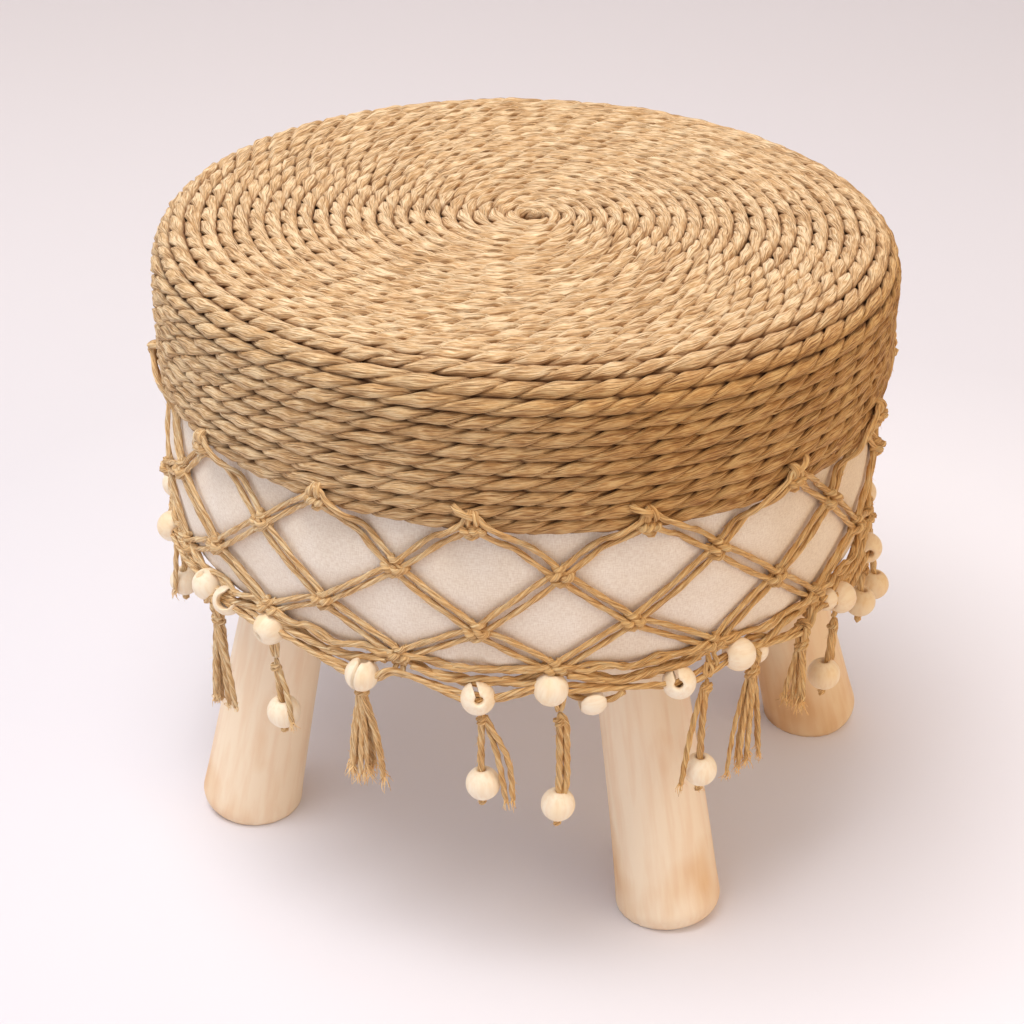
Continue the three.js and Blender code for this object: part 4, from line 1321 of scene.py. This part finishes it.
def collar_pieces(material, cord, beads):
    """The beads of the ring, and a few more that hang on short loops of cord beside it."""
    for number, middle in enumerate(beads, 1):
        node = f"collar_bead_{number:02d}"
        straight = directions_at(degrees_of(middle))[0] + 0.15 * chance.normal(0, 1, 3)
        surface = bead_surface(middle, COLLAR_BEAD_RADIUS, BORE, *LYING.get(number, [straight]))
        piece(f"wooden_{node}", surface, material, [node])
    loops = Surface()
    for number, (pixel, size, inside, lying) in enumerate(EXTRA_BEADS, 1):
        middle = through_camera(pixel, RING_RADIUS - inside)
        beside, out = directions_at(degrees_of(middle))
        ahead = unit(beside + 0.3 * out * (-1) ** number)
        bore = OPEN_BORE if lying else BORE
        surface = bead_surface(middle, COLLAR_BEAD_RADIUS * size, bore, *(lying or [ahead]))
        piece(f"extra_bead_{number:02d}", surface, material)
        up = np.array([0, 0, RING_HEIGHT - middle[2]])
        near = [(0.005, 0), (0.0105, 0.3), (0.0150, 1)]
        before = [middle - ahead * away + up * share for away, share in near]
        after = [middle + ahead * away + up * share for away, share in near]
        cord_through(loops, before[::-1] + after, 0.85)
    piece("bead_loops", loops, cord)
    hanging_bead(material, cord)


def hanging_bead(material, cord):
    """One more bead that hangs on a cord of its own from the net's lower cord."""
    degrees, radius, height = HANGING_BEAD
    beside, out = directions_at(degrees)
    middle = out * radius + np.array([0, 0, height])
    surface = bead_surface(middle, END_BEAD_RADIUS, BORE, (0.06, 0.04, 1))
    ball = piece("hanging_bead", surface, material)
    top = on_ring(out)
    below = middle - [0, 0, END_BEAD_RADIUS + 0.0040]
    line = smooth_line([top, (top + middle) / 2 + out * 0.001, middle, below])
    knots, hung = Surface(), Surface()
    end_knots(knots, top, below, beside, out)
    tie = piece("hanging_knots", knots, cord)
    twisted_cord(hung, line, CORD_RADIUS)
    piece("hanging_cord", hung, cord)


def end_knots(surface, top, bottom, beside, out):
    """The knots of a hanging cord: round the net's lower cord and under its bead."""
    wrapped_knot(surface, top - [0, 0, TOP_KNOT_DROP], beside, out, 0.0020, 1.4, 0.0012)
    ending = bottom + [0, 0, 0.0026]
    wrapped_knot(surface, ending, beside, out, 0.0011, 1.6, 0.0012)
    frayed_end(surface, ending - [0, 0, 0.001], np.array([0, 0, -1.0]), 0.001, 0.0022, 0.4)


def swinging_cord(surface, line):
    """A hanging cord that narrows to its upper end, so that it clears the bead above as it swings."""
    twisted_cord(surface, line, CORD_RADIUS, thin=np.interp(along_line(line), HINGE_TAPER, HINGE_SHARES))


def loose_ends(surface, top, length, beside, out, count, side):
    """Loose strands that fall from a pendant's top, to one side of its cord."""
    for k in range(count):
        away = side * (LOOSE_APART[0] + LOOSE_APART[1] * k)
        fall = length + chance.uniform(*LOOSE_PAST_BEAD)
        points = [
            top + beside * side * (0.0008 + 0.0008 * k) - [0, 0, 0.004],
            top + beside * away * 0.5 + out * 0.0010 * k - [0, 0, 0.010],
            top + beside * away * 1.4 + out * 0.0016 - [0, 0, fall * 0.55],
            top + beside * (away + side * 0.0066) + out * 0.003 - [0, 0, fall],
        ]
        loose_strand(surface, points, LOOSE_RADIUS, LOOSE_FRAY, 1.3)


def pendant_pieces(cord, wood):
    """Each pendant: its bead, its knots with a second cord in some, loose strands, and its cord."""
    for number, loose in zip(PENDANTS, LOOSE_BESIDE):
        tag = f"{number:02d}"
        body = f"pendant_{tag}"
        top, lowest = pendant_ends(number)
        place = centre_of(f"pendant_bead_{tag}")
        bead = towards_photo(place, PHOTO_ENDS.get(number), MOST_END_SHIFT)
        bottom = bead - [0, 0, place[2] - lowest]
        beside, out = directions_at(degrees_of(top))
        tilt = [BEAD_TILT * chance.normal(), BEAD_TILT * chance.normal(), 1.0]
        surface = bead_surface(bead, END_BEAD_RADIUS, END_BORE, tilt)
        with_pieces = [piece(f"end_bead_{tag}", surface, wood, [f"pendant_bead_{tag}"], body)]

        knots = Surface()
        end_knots(knots, top, bottom, beside, out)
        share = np.linspace(0.02, 0.97, 15)[:, None]
        sway = (beside * 0.0006 + out * 0.0004) * (1 if number % 2 else -1)
        line = smooth_line(top + (bottom - top) * share + sway * np.sin(math.pi * share))
        if number in DOUBLED:
            share = np.linspace(0, 1, len(line))[:, None]
            off = np.interp(share, [0, 0.1, 0.62, 0.78, 1], [0.2, 0.9, 1.0, 0.55, 0.1])
            second = line + beside * DOUBLED[number] * DOUBLED_APART * off
            swinging_cord(knots, second[: int(len(line) * DOUBLED_SHARE)])
        fuzz(knots, line[BARE_STEPS:], CORD_RADIUS, PENDANT_HAIRS)
        with_pieces.append(piece(f"pendant_knots_{tag}", knots, cord, body=body))

        if loose:
            ends = Surface()
            loose_ends(ends, top, top[2] - bead[2], beside, out, abs(loose), -1 if loose < 0 else 1)
            with_pieces.append(piece(f"loose_ends_{tag}", ends, cord, body=body))

        hung = Surface()
        swinging_cord(hung, line)
        made = piece(f"hung_cord_{tag}", hung, cord, [f"pendant_cord_{tag}"], body)


# Underside

STAPLES = 28
STAPLE_HALF = 0.0055
STAPLE_RISE = 0.0009
STAPLE_WIRE = 0.00045
STAPLE_INSET = 0.006


def staples(material):
    """A ring of staples that hold the lining to the board."""
    surface = Surface()
    height = LINING_TOP - LINING_THICKNESS - STAPLE_RISE / 2
    up = np.array([0, 0, STAPLE_RISE + STAPLE_WIRE])
    for k in range(STAPLES):
        beside, out = directions_at(360 / STAPLES * k + chance.uniform(-2, 2))
        middle = out * (LINING_RADIUS - STAPLE_INSET) + np.array([0, 0, height])
        lean = chance.uniform(-0.25, 0.25)
        reach = (beside * math.cos(lean) + out * math.sin(lean)) * STAPLE_HALF
        ends = [middle - reach, middle + reach]
        line = even(np.array([ends[0] + up, *ends, ends[1] + up]), 0.001)
        round_wire = corners(6) + np.zeros((len(line), 1))
        across, upright = STAPLE_WIRE * np.cos(round_wire), STAPLE_WIRE * np.sin(round_wire)
        tube(surface, line, *carried_frames(line), across, upright)
    piece("lining_staples", surface, material)


# Floor and light

STAGE_FRONT = -3.0
STAGE_BACK = 1.6
STAGE_BEND = 0.9
STAGE_TOP = 4.0
STAGE_HALF = 4.0
# Floor paper: painted shade makes it darker towards the front, where the key lamp lights it most, and a
# painted pool of light round the stool lightens its shadow
FLOOR_FROM_TO = (-0.45, 1.3)
FLOOR_COLOURS = ((0, srgb(229, 227, 236)), (0.45, srgb(238, 235, 240)), (1, srgb(239, 234, 236)))
LIGHT_POOL_MIDDLE = (0.12, -0.05, 0)  # round which the floor is palest: a painted pool of light that lightens the stool's shadow
LIGHT_POOL_FROM_TO = (0.22, 0.62)
LIGHT_POOL_COLOURS = ((0, WHITE), (1, srgb(239, 238, 239)))
LAMP_TARGET = np.array([0, 0, 0.2])
# Lamps: place, power, size and colour
LAMPS = {
    "key": ((-0.55, -0.30, 2.5), 44, 1.5, (1.0, 0.985, 0.965)),
    "fill": ((1.5, -0.9, 0.9), 6, 1.2, (1.0, 0.72, 0.42)),
}
ROOM_COLOURS = ((0, (0.97, 0.955, 0.97, 1)), (1, (0.78, 0.59, 0.38, 1)))
ROOM_STRENGTH = 0.77


def add_stage():
    """A pale floor that rises into a backdrop, with painted shade towards the front and a painted pool of
    light round the stool.
    """
    bend = [
        (STAGE_BACK + STAGE_BEND * math.sin(a), STAGE_BEND * (1 - math.cos(a)))
        for a in np.linspace(0, math.pi / 2, 16)
    ]
    rows = [(STAGE_FRONT, 0.0), *bend, (STAGE_BACK + STAGE_BEND, STAGE_TOP)]
    points = np.array([(x, y, z) for y, z in rows for x in (-STAGE_HALF, STAGE_HALF)])
    surface = Surface()
    surface.add(points, [(2 * i, 2 * i + 1, 2 * i + 3, 2 * i + 2) for i in range(len(rows) - 1)])
    look = Look(bpy.data.materials.new("paper"))
    where = look.add("TexCoord").outputs["Object"]
    far = look.add("VectorMath", {0: where, 1: LIGHT_POOL_MIDDLE}, operation="DISTANCE").outputs["Value"]
    depth = look.ramp(look.place_share("Y", FLOOR_FROM_TO), *FLOOR_COLOURS)
    pool = look.ramp(look.share_of(far, LIGHT_POOL_FROM_TO), *LIGHT_POOL_COLOURS)
    floor = in_scene("floor", surface.mesh("floor"))
    floor.data.materials.append(look.surfaced(look.tinted(depth, pool), 0.95))


def add_lights():
    """A soft lamp above, a weak warm one at the right, and a room that is darker and warmer there."""
    for name, (place, power, size, colour) in LAMPS.items():
        data = bpy.data.lights.new(name, "AREA")
        data.energy = power
        data.size = size
        data.color = colour
        ahead = unit(LAMP_TARGET - np.array(place))
        across = unit(np.cross(ahead, [0, 0, 1]))
        in_scene(name, data).matrix_world = facing(place, across, np.cross(across, ahead), ahead)
    world = bpy.data.worlds.new("room")
    bpy.context.scene.world = world
    look = Look(world)
    across_room = look.add("SeparateXYZ", {0: look.add("TexCoord").outputs["Generated"]})
    room = look.nodes["Background"]
    look.link(look.ramp(across_room.outputs["X"], *ROOM_COLOURS), room.inputs["Color"])
    room.inputs["Strength"].default_value = ROOM_STRENGTH


def dress_inside(steel):
    """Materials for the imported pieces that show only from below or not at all."""
    dressed = {"underside_lining": plain_stuff("felt"), "seat_board": plain_stuff("plywood")}
    for name in LEGS:
        dressed[f"leg_screw_{name}"] = steel
    for node, material in dressed.items():
        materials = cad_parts[node].data.materials
        materials.clear()
        materials.append(material)


def main():
    add_camera()
    KNOTS.update(place_knots())
    bpy.context.scene.view_settings.view_transform = "Standard"
    jute = plant_fibre("jute", **JUTE_LOOK)
    bead_wood = pale_wood("bead_wood")
    steel = plain_stuff("steel")
    beads = [
        towards_photo(centre_of(name), PHOTO_COLLARS.get(int(name[-2:])), MOST_SHIFT)
        for name in sorted(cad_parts)
        if name.startswith("collar_bead")
    ]
    pendant_pieces(jute, bead_wood)
    rope_pieces(plant_fibre("rope", **ROPE_LOOK))
    drum_pieces(linen_cloth(), plain_stuff("foam"))
    leg_pieces(pale_wood("leg_wood"))
    net_pieces(jute)
    ring_piece(jute, beads)
    pendant_ties(jute, beads)
    tassel_pieces(jute)
    collar_pieces(bead_wood, jute, beads)
    staples(steel)
    dress_inside(steel)
    add_stage()
    add_lights()


main()
